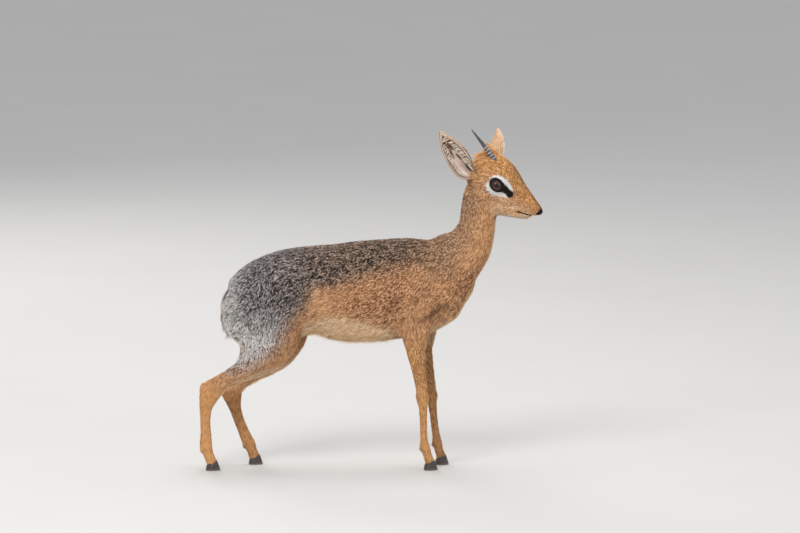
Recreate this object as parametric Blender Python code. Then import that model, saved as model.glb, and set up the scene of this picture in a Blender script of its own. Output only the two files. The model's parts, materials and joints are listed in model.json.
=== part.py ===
"""Dik-dik buck, a very small antelope, standing still at life size.

Metres, +Z up. The animal faces +X and its right side faces -Y. The origin is on
the floor under the middle of its bounding box. Every solid reaches out to the
surface of the coat. The flesh is modelled whole, from lofted tubes melted
together by a voxel remesh, and is then parted with thin cuts.
"""

import math
import random

import bmesh
import bpy
import numpy as np
from mathutils import Matrix, Vector

MM = 0.001
RIGHT = -1
LEFT = 1
GAP = 0.3 * MM

# How finely the flesh is melted together, and how many triangles it keeps.
MELT_VOXEL = 2.4 * MM
FLESH_TRIANGLES = 6600
HEAD_DETAIL = 0.9
LEG_DETAIL = 0.3
DETAIL_FACTOR = 0.0016
HEAD_FLOOR = 430 * MM
HEAD_FADE = 40 * MM
BLEND_ROUNDS = 22
BLEND_FLOOR = 170 * MM
BLEND_FULL = 230 * MM
BLEND_LEAST = 0.06
BLEND_MORE = 0.5
BLEND_KEPT_ON_HEAD = 0.8

# The trunk from rump to breast: x, height of the back, height of the belly, half width.
TRUNK = (
    (-236, 296, 246, 14),
    (-226, 313, 230, 32),
    (-210, 335, 222, 45),
    (-184, 355, 219, 53),
    (-140, 373, 223, 56),
    (-92, 380, 228, 55),
    (-46, 385, 217, 56),
    (-2, 389, 216, 56),
    (40, 392, 220, 52),
    (80, 394, 227, 46),
    (114, 392, 243, 41),
    (142, 384, 264, 35),
    (163, 363, 290, 26),
    (176, 343, 314, 13),
)
TRUNK_EGG = -0.14

# The neck from inside the breast to inside the skull: x, z, half depth, half width.
NECK = (
    (92, 304, 66, 43),
    (114, 330, 60, 40),
    (141, 355, 52, 35),
    (166, 379, 41, 30),
    (179.5, 411, 32.5, 25.5),
    (183.5, 444, 31, 24),
    (187, 470, 28.5, 24),
    (192, 490, 22, 20),
    (197, 504, 10, 10),
)

# The head's own axes start behind the skull: s runs to the nose, t up to the brow.
HEAD_ORIGIN = Vector((167.8, 0, 509.4)) * MM
HEAD_PITCH = math.radians(33.5)
HEAD_YAW = math.radians(-3)
HEAD_ROLL = math.radians(-5)

# The skull, then the lower jaw: s, top, bottom, half width.
SKULL = (
    (-6, 12, -6, 8),
    (0, 24, -17, 18),
    (12, 39, -27, 23),
    (30, 50, -34, 24.5),
    (48, 50.5, -34, 24),
    (66, 44.5, -30, 20.5),
    (84, 36, -24, 16.5),
    (102, 28.5, -17, 13.2),
    (118, 22.5, -10.5, 11.5),
    (130, 18, -5, 10.2),
    (139, 13.5, -1.5, 8),
    (145, 8.5, 1.5, 4),
)
JAW = (
    (14, -8, -32, 12),
    (34, -14, -40, 17),
    (56, -16, -42.5, 16),
    (80, -13, -37.5, 12.5),
    (100, -9, -29.5, 9.5),
    (116, -8, -22.5, 8),
    (127, -7, -16, 6.5),
    (131.5, -8, -12.5, 3.5),
)
SKULL_EGG = 0.1

# Masses on each side of the head: s, half spread, t, then the three radii.
HEAD_MASSES = {
    "orbit": ((50, 17.5, 7), (20, 15.5, 17.5)),
    "masseter": ((36, 13, -14), (24, 11.5, 20)),
    "ear_root": ((4, 13, 4), (9, 6.5, 11)),
    "lip_pad": ((125, 5, 3.5), (13, 6.5, 8)),
}

# Each limb's stations: x, side offset, z, half depth, half width.
FORELEG_RIGHT = (
    (80, -27, 304, 40, 20),
    (77, -30, 270, 34, 21),
    (75, -32, 241, 27, 18),
    (76, -33, 214, 19, 14.5),
    (79, -32.5, 192, 15.6, 12),
    (83, -31.5, 166, 12, 10),
    (86.5, -30.5, 139, 10.2, 9),
    (88, -30, 125, 9.8, 9.5),
    (88.6, -29.5, 111, 8.3, 8),
    (89.2, -29, 94, 7, 6.6),
    (89.8, -28.5, 72, 6.6, 6.3),
    (90.6, -28, 51, 7, 6.9),
    (92, -28, 40, 8.6, 8.3),
    (96, -28, 27, 7.6, 8),
    (101, -28, 12, 8.6, 8.6),
)
FORELEG_LEFT = (
    (86, 27, 300, 40, 20),
    (87, 30, 266, 32, 21),
    (87.5, 32, 230, 25, 17.5),
    (88.5, 33, 205, 17.5, 14.5),
    (92, 32.5, 184, 14.2, 12),
    (97, 31.5, 158, 11.2, 10),
    (101.4, 30.5, 131, 10.2, 9),
    (103, 30, 120, 9.8, 9.5),
    (104.4, 29.5, 106, 8.3, 8),
    (106.4, 29, 90, 7, 6.6),
    (109, 28.5, 66, 6.7, 6.3),
    (111.4, 28, 50, 7.1, 6.9),
    (113, 28, 38, 8.7, 8.3),
    (116, 28, 26, 7.7, 8),
    (120.5, 28, 12, 8.6, 8.6),
)
HAUNCH_RIGHT = (
    (-172, -20, 334, 48, 22),
    (-175, -25, 300, 65, 31),
    (-179, -27, 262, 71, 32),
    (-180, -28, 228, 62, 28),
    (-186, -30, 203, 46, 22),
    (-199, -32, 185, 30, 17),
    (-216, -33, 171, 20, 13.5),
    (-238, -34, 158, 16.4, 11),
    (-258, -34, 147, 15.6, 10),
    (-273, -34, 140, 14.5, 9),
)
HAUNCH_LEFT = (
    (-170, 20, 330, 50, 22),
    (-170, 25, 298, 66, 31),
    (-168, 27, 258, 70, 32),
    (-166, 28, 222, 60, 28),
    (-170, 30, 196, 44, 22),
    (-181, 32, 177, 29, 17),
    (-198, 33, 161, 19.5, 13.5),
    (-217, 33, 147, 16.4, 11),
    (-231, 33, 137, 15.6, 10),
    (-243, 33, 131, 14, 9),
)
HIND_SHANK_RIGHT = (
    (-268, -34, 146, 19, 8),
    (-271, -34, 137, 19.5, 10.5),
    (-275.5, -34, 122, 15.5, 10.5),
    (-279, -33.5, 107, 10.8, 8.6),
    (-280, -33, 88, 8.9, 7),
    (-279.6, -32, 68, 9.2, 7),
    (-279.5, -31, 51, 10.3, 8),
    (-279, -31, 39, 10.8, 9),
    (-275, -31, 27, 9, 8.6),
    (-269, -31, 12, 9.4, 9.2),
)
HIND_SHANK_LEFT = (
    (-239, 33, 139, 19, 8),
    (-238, 33, 129, 19.5, 10.5),
    (-235, 33, 114, 15.5, 10.5),
    (-231.5, 32.5, 99, 11, 8.6),
    (-226.5, 32, 82, 9.2, 7),
    (-219, 31.5, 62, 9.2, 7),
    (-212.5, 31, 46, 10.2, 8),
    (-207.5, 31, 35.5, 10.8, 9),
    (-203, 31, 25, 9, 8.6),
    (-198, 31, 11, 9.4, 9.2),
)

TAIL = (
    (-214, 318, 7, 9),
    (-230, 308, 9, 11.5),
    (-242, 290, 9, 12),
    (-246, 268, 8.5, 11),
    (-246, 248, 7, 9),
    (-242, 231, 3.6, 5),
    (-240, 223, 1, 1.5),
)

DEWCLAWS = ((85.5, -28, 37), (106.5, 28, 35), (-286.5, -31, 35), (-215.5, 31, 32))
DEWCLAW_SPREAD = 4.5
DEWCLAW_RADII = (4.2, 2.6, 5)

# Where the flesh is parted, besides the haunches: centre, direction across, half size.
CUTS = (
    ((188, 0, 463), (0.782, 0, 0.623), 62),
    ((160, 0, 389), (0.52, 0, 0.854), 62),
    ((76, -33, 221), (0, 0, 1), 30),
    ((88, 33, 221), (0, 0, 1), 30),
    ((88, -30, 122), (0, 0, 1), 20),
    ((103.2, 30, 117), (0, 0, 1), 20),
    ((92, -28, 46), (0, 0, 1), 18),
    ((112, 28, 44), (0, 0, 1), 18),
    ((-200, -32, 184), (-0.68, 0, -0.73), 40),
    ((-181, 32, 177), (-0.7, 0, -0.71), 40),
    ((-256, -34, 148), (-0.876, 0, -0.482), 24),
    ((-226, 33, 140.5), (-0.81, 0, -0.58), 24),
    ((-279, -31, 45), (0, 0, 1), 18),
    ((-210, 31, 41), (0, 0, 1), 18),
)
HAUNCH_ARCH = (
    (-93, 190),
    (-93, 214),
    (-100, 246),
    (-116, 280),
    (-150, 303),
    (-190, 306),
    (-226, 294),
    (-262, 274),
)
HAUNCH_SHEET_FOOT = ((-262, 120), (-93, 120))
HAUNCH_REACH = 0.09

# A point near the middle of each node of flesh.
SEEDS = {
    "head": (225, 0, 495),
    "neck": (180, 0, 430),
    "torso": (0, 0, 310),
    "thigh_right": (-175, -27, 245),
    "thigh_left": (-165, 27, 240),
    "gaskin_right": (-228, -34, 164),
    "gaskin_left": (-204, 33, 157),
    "cannon_hind_right": (-277, -33, 100),
    "cannon_hind_left": (-228, 33, 95),
    "pastern_hind_right": (-274, -31, 28),
    "pastern_hind_left": (-203, 31, 27),
    "forearm_right": (81, -32, 170),
    "forearm_left": (98, 32, 168),
    "cannon_fore_right": (89, -29, 85),
    "cannon_fore_left": (107, 29, 80),
    "pastern_fore_right": (96, -28, 28),
    "pastern_fore_left": (116, 28, 27),
}

# The four feet: where the heel and the toe stand, and how far to the side.
FEET = {
    "fore_right": {"heel": 90, "toe": 114, "side": -28},
    "fore_left": {"heel": 109.5, "toe": 133, "side": 28},
    "hind_right": {"heel": -280, "toe": -255, "side": -31},
    "hind_left": {"heel": -208.5, "toe": -184, "side": 31},
}
CORONET_HEIGHT = 13.5
CORONET_SLOPE = 0.42
CORONET_SHIFT = -2
CORONET_HALF = 8.3
FOOT_CUT = 24
CLAW_TOP = 7.8
CLAW_SOLE = 8.8
CLEFT = 0.5
CLAW_POINTING = 0.28
CLAW_POINTS = 12
CLAW_LEVELS = (0, 0.3, 0.65, 0.93, 1)

# Along the ear from root to tip: half width, how far each side curls (radians), thickness.
EAR_PROFILE = (
    (0, 6.5, 2.3, 2.6),
    (0.08, 10, 2.1, 2.4),
    (0.18, 14.2, 1.8, 2.1),
    (0.33, 18.2, 1.35, 1.8),
    (0.48, 19.2, 1.08, 1.6),
    (0.6, 18.2, 0.95, 1.5),
    (0.74, 14.2, 0.85, 1.4),
    (0.84, 10, 0.78, 1.3),
    (0.93, 5.4, 0.7, 1.2),
    (1, 1, 0.6, 1),
)
EAR_ROWS = 15
EAR_COLUMNS = 9
EAR_RIM_THINNING = 0.45
EARS = {
    "ear_right": {
        "axis": ((172, -17, 506), (140, -33, 532), (117.5, -43, 580)),
        "opens": (0.3, -0.94, 0.1),
    },
    "ear_left": {
        "axis": ((174, 16, 505), (210, 38, 529), (216, 66, 571)),
        "opens": (0.62, 0.68, -0.4),
    },
}

# Horns, in the head's own axes: s, side, t.
HORN_BASE = (32, 13, 35)
HORN_TIP = (-35.4, 16, 58.4)
HORN_BOW = 0.8
HORN_ROOT = 0.15
HORN_RINGED_END = 0.55
HORN_RINGS = 13
HORN_RING_DEPTH = 0.085
HORN_RING_FADE = 0.08
HORN_ROWS = 27
HORN_SIDES = 10
HORN_PROFILE = ((0, 4.8), (0.25, 4.8), (0.5, 3.6), (0.68, 2.5), (0.86, 1.4), (1, 0.45))

# The crest of long hair between the horns, in the head's own axes.
CREST_SEED = 7
CREST_LOCKS = 22
CREST_MOUND = (21, 0, 38)
CREST_MOUND_RADII = (19, 12, 9)
CREST_SPREAD = (14, 7.5)
CREST_LENGTH = 33
CREST_LOCK_WIDTH = 11.5
CREST_LOCK_THICKNESS = 1.9
CREST_BACK_LEAN = 0.85
CREST_FAN = 0.55
CREST_SIDE_FAN = 0.45
CREST_SHORTENING = 0.5
CREST_STRAY = 0.12
CREST_BEND = (-0.22, -0.2, -0.12)
CREST_TWIST = 0.4
LOCK_STEPS = 3
LOCK_TIP = 0.2
GOLDEN_ANGLE = math.pi * (3 - math.sqrt(5))

# The eye, mouth and nostrils, in the head's own axes.
EYE_PLACE = (51, 22, 4.4)
EYE_RADIUS = 10.5
LID_THICKNESS = 1.8
LID_POLE_TURN = 1.4
LID_POINTS = 20
EYE_OPENING = (9.9, 7.9)
EYE_CORNER_ROUNDING = 0.15
LID_CUT = (2.6, 25)
MOUTH_CORNER = (106, -15)
MOUTH_FRONT = (135, -5.5)
MOUTH_SAG = -1.2
MOUTH_GAP = 0.9
MOUTH_DEPTH = 3
MOUTH_STEPS = 8
MUZZLE_WIDTHS = ((100, 11), (118, 9), (130, 7), (138, 4))
NOSTRIL_PLACE = (136.5, 8, 4)
NOSTRIL_TURN = math.radians(-20)
NOSTRIL_SLANT = math.radians(-56)
NOSTRIL_RADII = (4.8, 2.4, 1.3)

SIDE_NAMES = {RIGHT: "right", LEFT: "left"}
SEAT_GAP = 0.35 * MM

# Plain colours and roughness by what the piece is made of.
LOOKS = {
    "horn_grey": ((0.10, 0.095, 0.10), 0.45),
    "hoof_dark": ((0.045, 0.038, 0.034), 0.4),
    "eye_dark": ((0.012, 0.006, 0.003), 0.08),
    "crest_orange": ((0.52, 0.22, 0.06), 0.8),
    "grizzled_coat": ((0.17, 0.12, 0.085), 0.85),
    "tan_coat": ((0.45, 0.22, 0.09), 0.85),
}
LOOK_WORDS = {
    "horn_grey": ("horn",),
    "hoof_dark": ("hoof",),
    "eye_dark": ("eye",),
    "crest_orange": ("crest",),
    "grizzled_coat": ("torso", "thigh", "tail"),
    "tan_coat": (),
}


def spline(rows, count):
    """Catmull-Rom samples of rows of numbers, in metres, evenly spaced by row."""
    rows = np.array(rows, float) * MM
    ends = np.vstack([2 * rows[0] - rows[1], rows, 2 * rows[-1] - rows[-2]])
    at = np.linspace(0, len(rows) - 1, count)
    first = np.minimum(at.astype(int), len(rows) - 2)
    t = (at - first)[:, None]
    a, b, c, d = (ends[first + k] for k in range(4))
    return 0.5 * (
        2 * b
        + (c - a) * t
        + (2 * a - 5 * b + 4 * c - d) * t**2
        + (3 * b - a - 3 * c + d) * t**3
    )


def unit(v):
    """v, or each row of v, at length one."""
    v = np.asarray(v, float)
    return v / np.linalg.norm(v, axis=-1, keepdims=True)


def add_tube(bm, centres, deep, wide, sides, egg=0.0, square=1.0):
    """Adds a closed tube. Each ring stands across the path, with its width along Y."""
    tangents = unit(np.gradient(centres, axis=0))
    side_axis = unit(np.array([0, 1, 0]) - tangents * tangents[:, 1:2])
    depth_axis = np.cross(tangents, side_axis)
    angles = np.arange(sides) * math.tau / sides
    c = np.sign(np.cos(angles)) * np.abs(np.cos(angles)) ** square
    s = np.sign(np.sin(angles)) * np.abs(np.sin(angles)) ** square
    loops = []
    for k, centre in enumerate(centres):
        across = np.outer(c * (1 + egg * s) * wide[k], side_axis[k])
        along = np.outer(s * deep[k], -depth_axis[k])
        loops.append([bm.verts.new(p) for p in centre + across + along])
    made = [bm.faces.new(loops[0][::-1]), bm.faces.new(loops[-1])]
    for low, high in zip(loops, loops[1:]):
        for i in range(sides):
            j = (i + 1) % sides
            made.append(bm.faces.new((low[i], low[j], high[j], high[i])))
    bmesh.ops.recalc_face_normals(bm, faces=made)


def add_profile(bm, rows, count, sides, egg=0.0, square=1.0, frame=None):
    """Adds a tube from rows of: run, top, bottom, half width. It runs along X."""
    run, top, bottom, wide = spline(rows, count).T
    centres = np.stack([run, 0 * run, (top + bottom) / 2], 1)
    before = set(bm.verts)
    add_tube(bm, centres, (top - bottom) / 2, wide, sides, egg, square)
    if frame is not None:
        added = [v for v in bm.verts if v not in before]
        bmesh.ops.transform(bm, matrix=frame, verts=added)


def add_limb(bm, rows, count, sides):
    """Adds a tube from rows of: x, side offset, z, half depth, half width."""
    x, y, z, deep, wide = spline(rows, count).T
    add_tube(bm, np.stack([x, y, z], 1), deep, wide, sides)


def add_middle_tube(bm, rows, count, sides):
    """Adds a tube in the middle plane from rows of: x, z, half depth, half width."""
    x, z, deep, wide = spline(rows, count).T
    add_tube(bm, np.stack([x, 0 * x, z], 1), deep, wide, sides)


def add_ellipsoid(bm, centre, radii, frame=None, around=20, rows=12):
    """Adds an ellipsoid, its centre and radii in millimetres."""
    place = Matrix.Translation(Vector(centre) * MM) @ Matrix.Diagonal(
        (*[r * MM for r in radii], 1)
    )
    bmesh.ops.create_uvsphere(
        bm,
        u_segments=around,
        v_segments=rows,
        radius=1,
        matrix=(frame or Matrix.Identity(4)) @ place,
    )


def head_frame():
    """The matrix from the head's own axes to the world."""
    turn = Matrix.Rotation(HEAD_YAW, 4, "Z") @ Matrix.Rotation(HEAD_PITCH, 4, "Y")
    turn = turn @ Matrix.Rotation(HEAD_ROLL, 4, "X")
    return Matrix.Translation(HEAD_ORIGIN) @ turn


def new_object(name, mesh_or_bm):
    """An object in the scene, from a mesh or from a bmesh that it uses up."""
    mesh = mesh_or_bm
    if isinstance(mesh_or_bm, bmesh.types.BMesh):
        mesh = bpy.data.meshes.new(name)
        mesh_or_bm.to_mesh(mesh)
        mesh_or_bm.free()
    obj = bpy.data.objects.new(name, mesh)
    bpy.context.scene.collection.objects.link(obj)
    return obj


def apply_modifiers(obj):
    """Makes the evaluated mesh the object's own."""
    graph = bpy.context.evaluated_depsgraph_get()
    mesh = bpy.data.meshes.new_from_object(obj.evaluated_get(graph))
    obj.modifiers.clear()
    obj.data = mesh
    return obj


def boolean(obj, other, operation, solver="EXACT"):
    """Cuts or joins obj with other, which is then removed."""
    step = obj.modifiers.new(operation.lower(), "BOOLEAN")
    step.operation = operation
    step.solver = solver
    step.object = other
    apply_modifiers(obj)
    bpy.data.objects.remove(other)
    return obj


def copy_of(obj, name):
    return new_object(name, obj.data.copy())


def inflated(obj, by):
    """A copy of obj with its surface moved out, to cut a neighbour that sits on it."""
    copy = copy_of(obj, obj.name + "_cutter")
    points = np.empty(len(copy.data.vertices) * 3)
    copy.data.vertices.foreach_get("co", points)
    normals = np.empty(len(copy.data.vertices) * 3, np.float32)
    copy.data.vertex_normals.foreach_get("vector", normals)
    copy.data.vertices.foreach_set("co", points + by * normals)
    copy.data.update()
    return copy


def seated(obj, host):
    """Cuts obj back to a thin gap over host's surface and keeps its largest piece."""
    boolean(obj, inflated(host, SEAT_GAP), "DIFFERENCE")
    keep_largest(obj)
    return obj


def pieces_of(bm):
    """The lists of faces that hang together."""
    left = set(bm.faces)
    found = []
    while left:
        edge = [left.pop()]
        piece = list(edge)
        while edge:
            face = edge.pop()
            for side in face.edges:
                for near in side.link_faces:
                    if near in left:
                        left.discard(near)
                        edge.append(near)
                        piece.append(near)
        found.append(piece)
    return found


def keep_largest(obj):
    """Drops every loose scrap of a mesh but its largest piece."""
    bm = bmesh.new()
    bm.from_mesh(obj.data)
    pieces = sorted(pieces_of(bm), key=lambda faces: -sum(f.calc_area() for f in faces))
    for piece in pieces[1:]:
        bmesh.ops.delete(bm, geom=piece, context="FACES")
    bm.to_mesh(obj.data)
    bm.free()


def raw_flesh():
    """The overlapping tubes and masses that the flesh is melted from."""
    bm = bmesh.new()
    add_profile(bm, TRUNK, 40, 36, TRUNK_EGG, 0.9)
    add_middle_tube(bm, NECK, 24, 28)
    frame = head_frame()
    add_profile(bm, SKULL, 36, 28, SKULL_EGG, 0.92, frame)
    add_profile(bm, JAW, 24, 20, 0, 0.95, frame)
    for (s, spread, t), radii in HEAD_MASSES.values():
        for side in (RIGHT, LEFT):
            add_ellipsoid(bm, (s, side * spread, t), radii, frame)
    for limb in (FORELEG_RIGHT, FORELEG_LEFT, HAUNCH_RIGHT, HAUNCH_LEFT):
        add_limb(bm, limb, 40, 20)
    for limb in (HIND_SHANK_RIGHT, HIND_SHANK_LEFT):
        add_limb(bm, limb, 28, 20)
    for x, y, z in DEWCLAWS:
        for side in (RIGHT, LEFT):
            add_ellipsoid(bm, (x, y + side * DEWCLAW_SPREAD, z), DEWCLAW_RADII)
    return bm


def smooth_points(mesh, weight, rounds):
    """Moves each vertex towards the mean of its neighbours, by its weight."""
    points = np.empty(len(mesh.vertices) * 3)
    mesh.vertices.foreach_get("co", points)
    points = points.reshape(-1, 3)
    ends = np.empty(len(mesh.edges) * 2, int)
    mesh.edges.foreach_get("vertices", ends)
    a, b = ends.reshape(-1, 2).T
    both = np.r_[a, b]
    count = np.bincount(both, minlength=len(points))[:, None]
    share = weight(points)[:, None]
    for _ in range(rounds):
        near = np.r_[points[b], points[a]]
        total = np.stack([np.bincount(both, near[:, k]) for k in range(3)], 1)
        points += share * (total / count - points)
    mesh.vertices.foreach_set("co", points.ravel())
    mesh.update()


def blend_weight(points):
    """How far a point is smoothed: fully on the trunk, little on the head and legs."""
    height = np.clip((points[:, 2] - BLEND_FLOOR) / (BLEND_FULL - BLEND_FLOOR), 0, 1)
    head = np.clip((points[:, 2] - HEAD_FLOOR) / HEAD_FADE, 0, 1)
    return BLEND_LEAST + BLEND_MORE * height * (1 - BLEND_KEPT_ON_HEAD * head)


def melted_flesh():
    """The whole flesh as one closed mesh."""
    obj = new_object("flesh", raw_flesh())
    remesh = obj.modifiers.new("melt", "REMESH")
    remesh.mode = "VOXEL"
    remesh.voxel_size = MELT_VOXEL
    apply_modifiers(obj)
    smooth_points(obj.data, blend_weight, BLEND_ROUNDS)
    group = obj.vertex_groups.new(name="thin_more")
    for v in obj.data.vertices:
        on_head = min(max((v.co.z - HEAD_FLOOR) / HEAD_FADE, 0), 1)
        on_leg = min(max((BLEND_FULL - v.co.z) / HEAD_FADE, 0), 1)
        detail = max(HEAD_DETAIL * on_head, LEG_DETAIL * on_leg)
        group.add([v.index], 1 - detail, "REPLACE")
    thin = obj.modifiers.new("thin", "DECIMATE")
    thin.vertex_group = group.name
    thin.vertex_group_factor = DETAIL_FACTOR
    faces = sum(len(p.vertices) - 2 for p in obj.data.polygons)
    thin.ratio = FLESH_TRIANGLES / faces
    return apply_modifiers(obj)


def plate(name, centre, normal, half_size):
    """A square plate as thin as the gap, across a direction, to part the flesh with."""
    bm = bmesh.new()
    turn = Vector(normal).to_track_quat("Z", "X").to_matrix().to_4x4()
    size = Matrix.Diagonal((2 * half_size * MM, 2 * half_size * MM, GAP, 1))
    place = Matrix.Translation(Vector(centre) * MM)
    bmesh.ops.create_cube(bm, size=1, matrix=place @ turn @ size)
    return new_object(name, bm)


def prism(name, outline, low, high, frame=None):
    """A closed prism: an outline of (x, z) in metres, carried along Y from low to high."""
    bm = bmesh.new()
    rows = [[bm.verts.new((x, y, z)) for x, z in outline] for y in (low, high)]
    bm.faces.new(rows[0])
    bm.faces.new(rows[1][::-1])
    count = len(outline)
    for i in range(count):
        j = (i + 1) % count
        bm.faces.new((rows[0][j], rows[0][i], rows[1][i], rows[1][j]))
    bmesh.ops.recalc_face_normals(bm, faces=bm.faces)
    if frame is not None:
        bmesh.ops.transform(bm, matrix=frame, verts=bm.verts)
    return new_object(name, bm)


def arch_line():
    """The line that parts the haunches from the trunk, smoothed, as (x, z)."""
    return spline([(x, z) for x, z in HAUNCH_ARCH], 25)


def haunch_cutters():
    """A thin arched wall across the body, and a sheet in its middle plane below it."""
    line = arch_line()
    along = unit(np.gradient(line, axis=0))
    out = np.stack([-along[:, 1], along[:, 0]], 1) * GAP / 2
    wall = np.vstack([line + out, (line - out)[::-1]])
    yield prism("arch_cutter", wall, -HAUNCH_REACH, HAUNCH_REACH)
    low = np.array(HAUNCH_SHEET_FOOT) * MM
    yield prism("middle_cutter", np.vstack([line, low]), -GAP / 2, GAP / 2)


def parted_flesh(flesh):
    """Cuts the flesh into its named nodes and returns them by name."""
    for cutter in haunch_cutters():
        boolean(flesh, cutter, "DIFFERENCE")
    for centre, normal, half_size in CUTS:
        cutter = plate("cutter", centre, normal, half_size)
        boolean(flesh, cutter, "DIFFERENCE")
    for foot in FEET.values():
        boolean(flesh, foot_cutter(foot), "DIFFERENCE")
    bm = bmesh.new()
    bm.from_mesh(flesh.data)
    seeds = {name: Vector(place) * MM for name, place in SEEDS.items()}
    found = {}
    for faces in pieces_of(bm):
        verts = list({v for f in faces for v in f.verts})
        centre = sum((v.co for v in verts), Vector()) / len(verts)
        name = min(seeds, key=lambda key: (seeds[key] - centre).length)
        found.setdefault(name, []).append((len(faces), faces))
    nodes = {}
    for name, parts in found.items():
        faces = max(parts, key=lambda part: part[0])[1]
        nodes[name] = new_object(name, mesh_of(faces))
    bm.free()
    bpy.data.objects.remove(flesh)
    return nodes


def mesh_of(faces):
    """A new bmesh with a copy of these faces."""
    bm = bmesh.new()
    made = {}
    for face in faces:
        for v in face.verts:
            if v not in made:
                made[v] = bm.verts.new(v.co)
        bm.faces.new([made[v] for v in face.verts])
    bmesh.ops.recalc_face_normals(bm, faces=bm.faces)
    return bm


def coronet_height(foot, x):
    """The height of the plane where a foot's pastern meets its hooves."""
    centre = (foot["heel"] + foot["toe"]) / 2 + CORONET_SHIFT
    return CORONET_HEIGHT + CORONET_SLOPE * (x - centre)


def foot_cutter(foot):
    """A block that takes off all of a foot below its coronet."""
    xs = (foot["heel"] - FOOT_CUT, foot["toe"] + FOOT_CUT)
    top = [(x * MM, coronet_height(foot, x) * MM + GAP) for x in xs]
    outline = top + [(x * MM, -FOOT_CUT * MM) for x in xs[::-1]]
    sides = [(foot["side"] + way * FOOT_CUT) * MM for way in (RIGHT, LEFT)]
    return prism("foot_cutter", outline, *sides)


def claw_ring(foot, side, level):
    """One ring of a claw, from the coronet at level 0 to the ground at level 1."""
    low_mid = (foot["heel"] + foot["toe"]) / 2
    low_half = (foot["toe"] - foot["heel"]) / 2
    mid = low_mid + CORONET_SHIFT * (1 - level)
    half = CORONET_HALF + (low_half - CORONET_HALF) * level**0.8
    wide = CLAW_TOP + (CLAW_SOLE - CLAW_TOP) * level
    ring = []
    for k in range(CLAW_POINTS + 1):
        angle = math.pi * k / CLAW_POINTS
        x = mid + half * math.cos(angle)
        taper = 1 - CLAW_POINTING * level * math.cos(angle)
        y = CLEFT + wide * math.sin(angle) ** 0.85 * taper
        z = coronet_height(foot, x) * (1 - level)
        ring.append(Vector((x, foot["side"] + side * y, z)) * MM)
    return ring


def hoof(name, foot, side):
    """One claw of a cloven hoof, with a flat sole."""
    bm = bmesh.new()
    rings = [[bm.verts.new(p) for p in claw_ring(foot, side, level)] for level in CLAW_LEVELS]
    bm.faces.new(rings[0])
    bm.faces.new(rings[-1][::-1])
    count = len(rings[0])
    for low, high in zip(rings, rings[1:]):
        for i in range(count):
            j = (i + 1) % count
            bm.faces.new((low[i], low[j], high[j], high[i]))
    bmesh.ops.recalc_face_normals(bm, faces=bm.faces)
    return new_object(name, bm)


def lerp(rows, at):
    """The values of a table of (place, value, ...) rows at a place."""
    rows = np.array(rows, float)
    return [np.interp(at, rows[:, 0], rows[:, k]) for k in range(1, rows.shape[1])]


def bezier(points, t):
    """A point on the curve through three guide points, and its direction."""
    a, b, c = (Vector(p) * MM for p in points)
    place = a * (1 - t) ** 2 + b * 2 * t * (1 - t) + c * t**2
    return place, ((b - a) * (1 - t) + (c - b) * t).normalized()


def ear(name, spec, host):
    """A cupped ear: an inner and an outer sheet joined at the rim, its root on the head."""
    bm = bmesh.new()
    inner, outer = [], []
    for i in range(EAR_ROWS + 1):
        u = (i / EAR_ROWS) ** 0.9
        place, along = bezier(spec["axis"], u)
        opens = Vector(spec["opens"])
        opens = (opens - along * opens.dot(along)).normalized()
        across = along.cross(opens)
        half, curl, thick = lerp(EAR_PROFILE, u)
        radius = half * MM / (math.sin(curl) if curl < math.pi / 2 else 1)
        centre = place + opens * radius
        rows = ([], [])
        for j in range(EAR_COLUMNS + 1):
            v = 2 * j / EAR_COLUMNS - 1
            spoke = across * math.sin(curl * v) - opens * math.cos(curl * v)
            depth = thick * (1 - EAR_RIM_THINNING * v**4) * MM
            rows[0].append(bm.verts.new(centre + spoke * radius))
            rows[1].append(bm.verts.new(centre + spoke * (radius + depth)))
        inner.append(rows[0])
        outer.append(rows[1])
    for sheet, flip in ((inner, False), (outer, True)):
        for low, high in zip(sheet, sheet[1:]):
            for j in range(EAR_COLUMNS):
                corners = (low[j], low[j + 1], high[j + 1], high[j])
                for part in ((0, 1, 2), (0, 2, 3)):
                    face = [corners[k] for k in part]
                    bm.faces.new(face[::-1] if flip else face)
    for j in range(EAR_COLUMNS):
        for k in (0, -1):
            bm.faces.new((inner[k][j], outer[k][j], outer[k][j + 1], inner[k][j + 1]))
    for i in range(EAR_ROWS):
        for j in (0, -1):
            bm.faces.new((inner[i][j], inner[i + 1][j], outer[i + 1][j], outer[i][j]))
    bmesh.ops.recalc_face_normals(bm, faces=bm.faces)
    return seated(new_object(name, bm), host)


def horn(name, side, host):
    """A short straight spike, ringed on its lower half, its root on the head."""
    frame = head_frame()
    base = frame @ (Vector((HORN_BASE[0], side * HORN_BASE[1], HORN_BASE[2])) * MM)
    tip = frame @ (Vector((HORN_TIP[0], side * HORN_TIP[1], HORN_TIP[2])) * MM)
    at = np.linspace(0, 1, HORN_ROWS)
    start = np.array(base)
    run = np.array(tip) - start
    bow = np.array([0, 0, HORN_BOW * MM])
    centres = start + np.outer(at, run) + np.outer(at * (1 - at) * 4, bow)
    radii = np.array([lerp(HORN_PROFILE, a)[0] for a in at]) * MM
    ringed = np.clip((HORN_RINGED_END - at) / HORN_RING_FADE, 0, 1) * (at > HORN_ROOT)
    radii = radii * (1 + HORN_RING_DEPTH * ringed * np.cos(at * HORN_RINGS * math.tau))
    bm = bmesh.new()
    add_tube(bm, centres, radii, radii, HORN_SIDES)
    return seated(new_object(name, bm), host)


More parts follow.
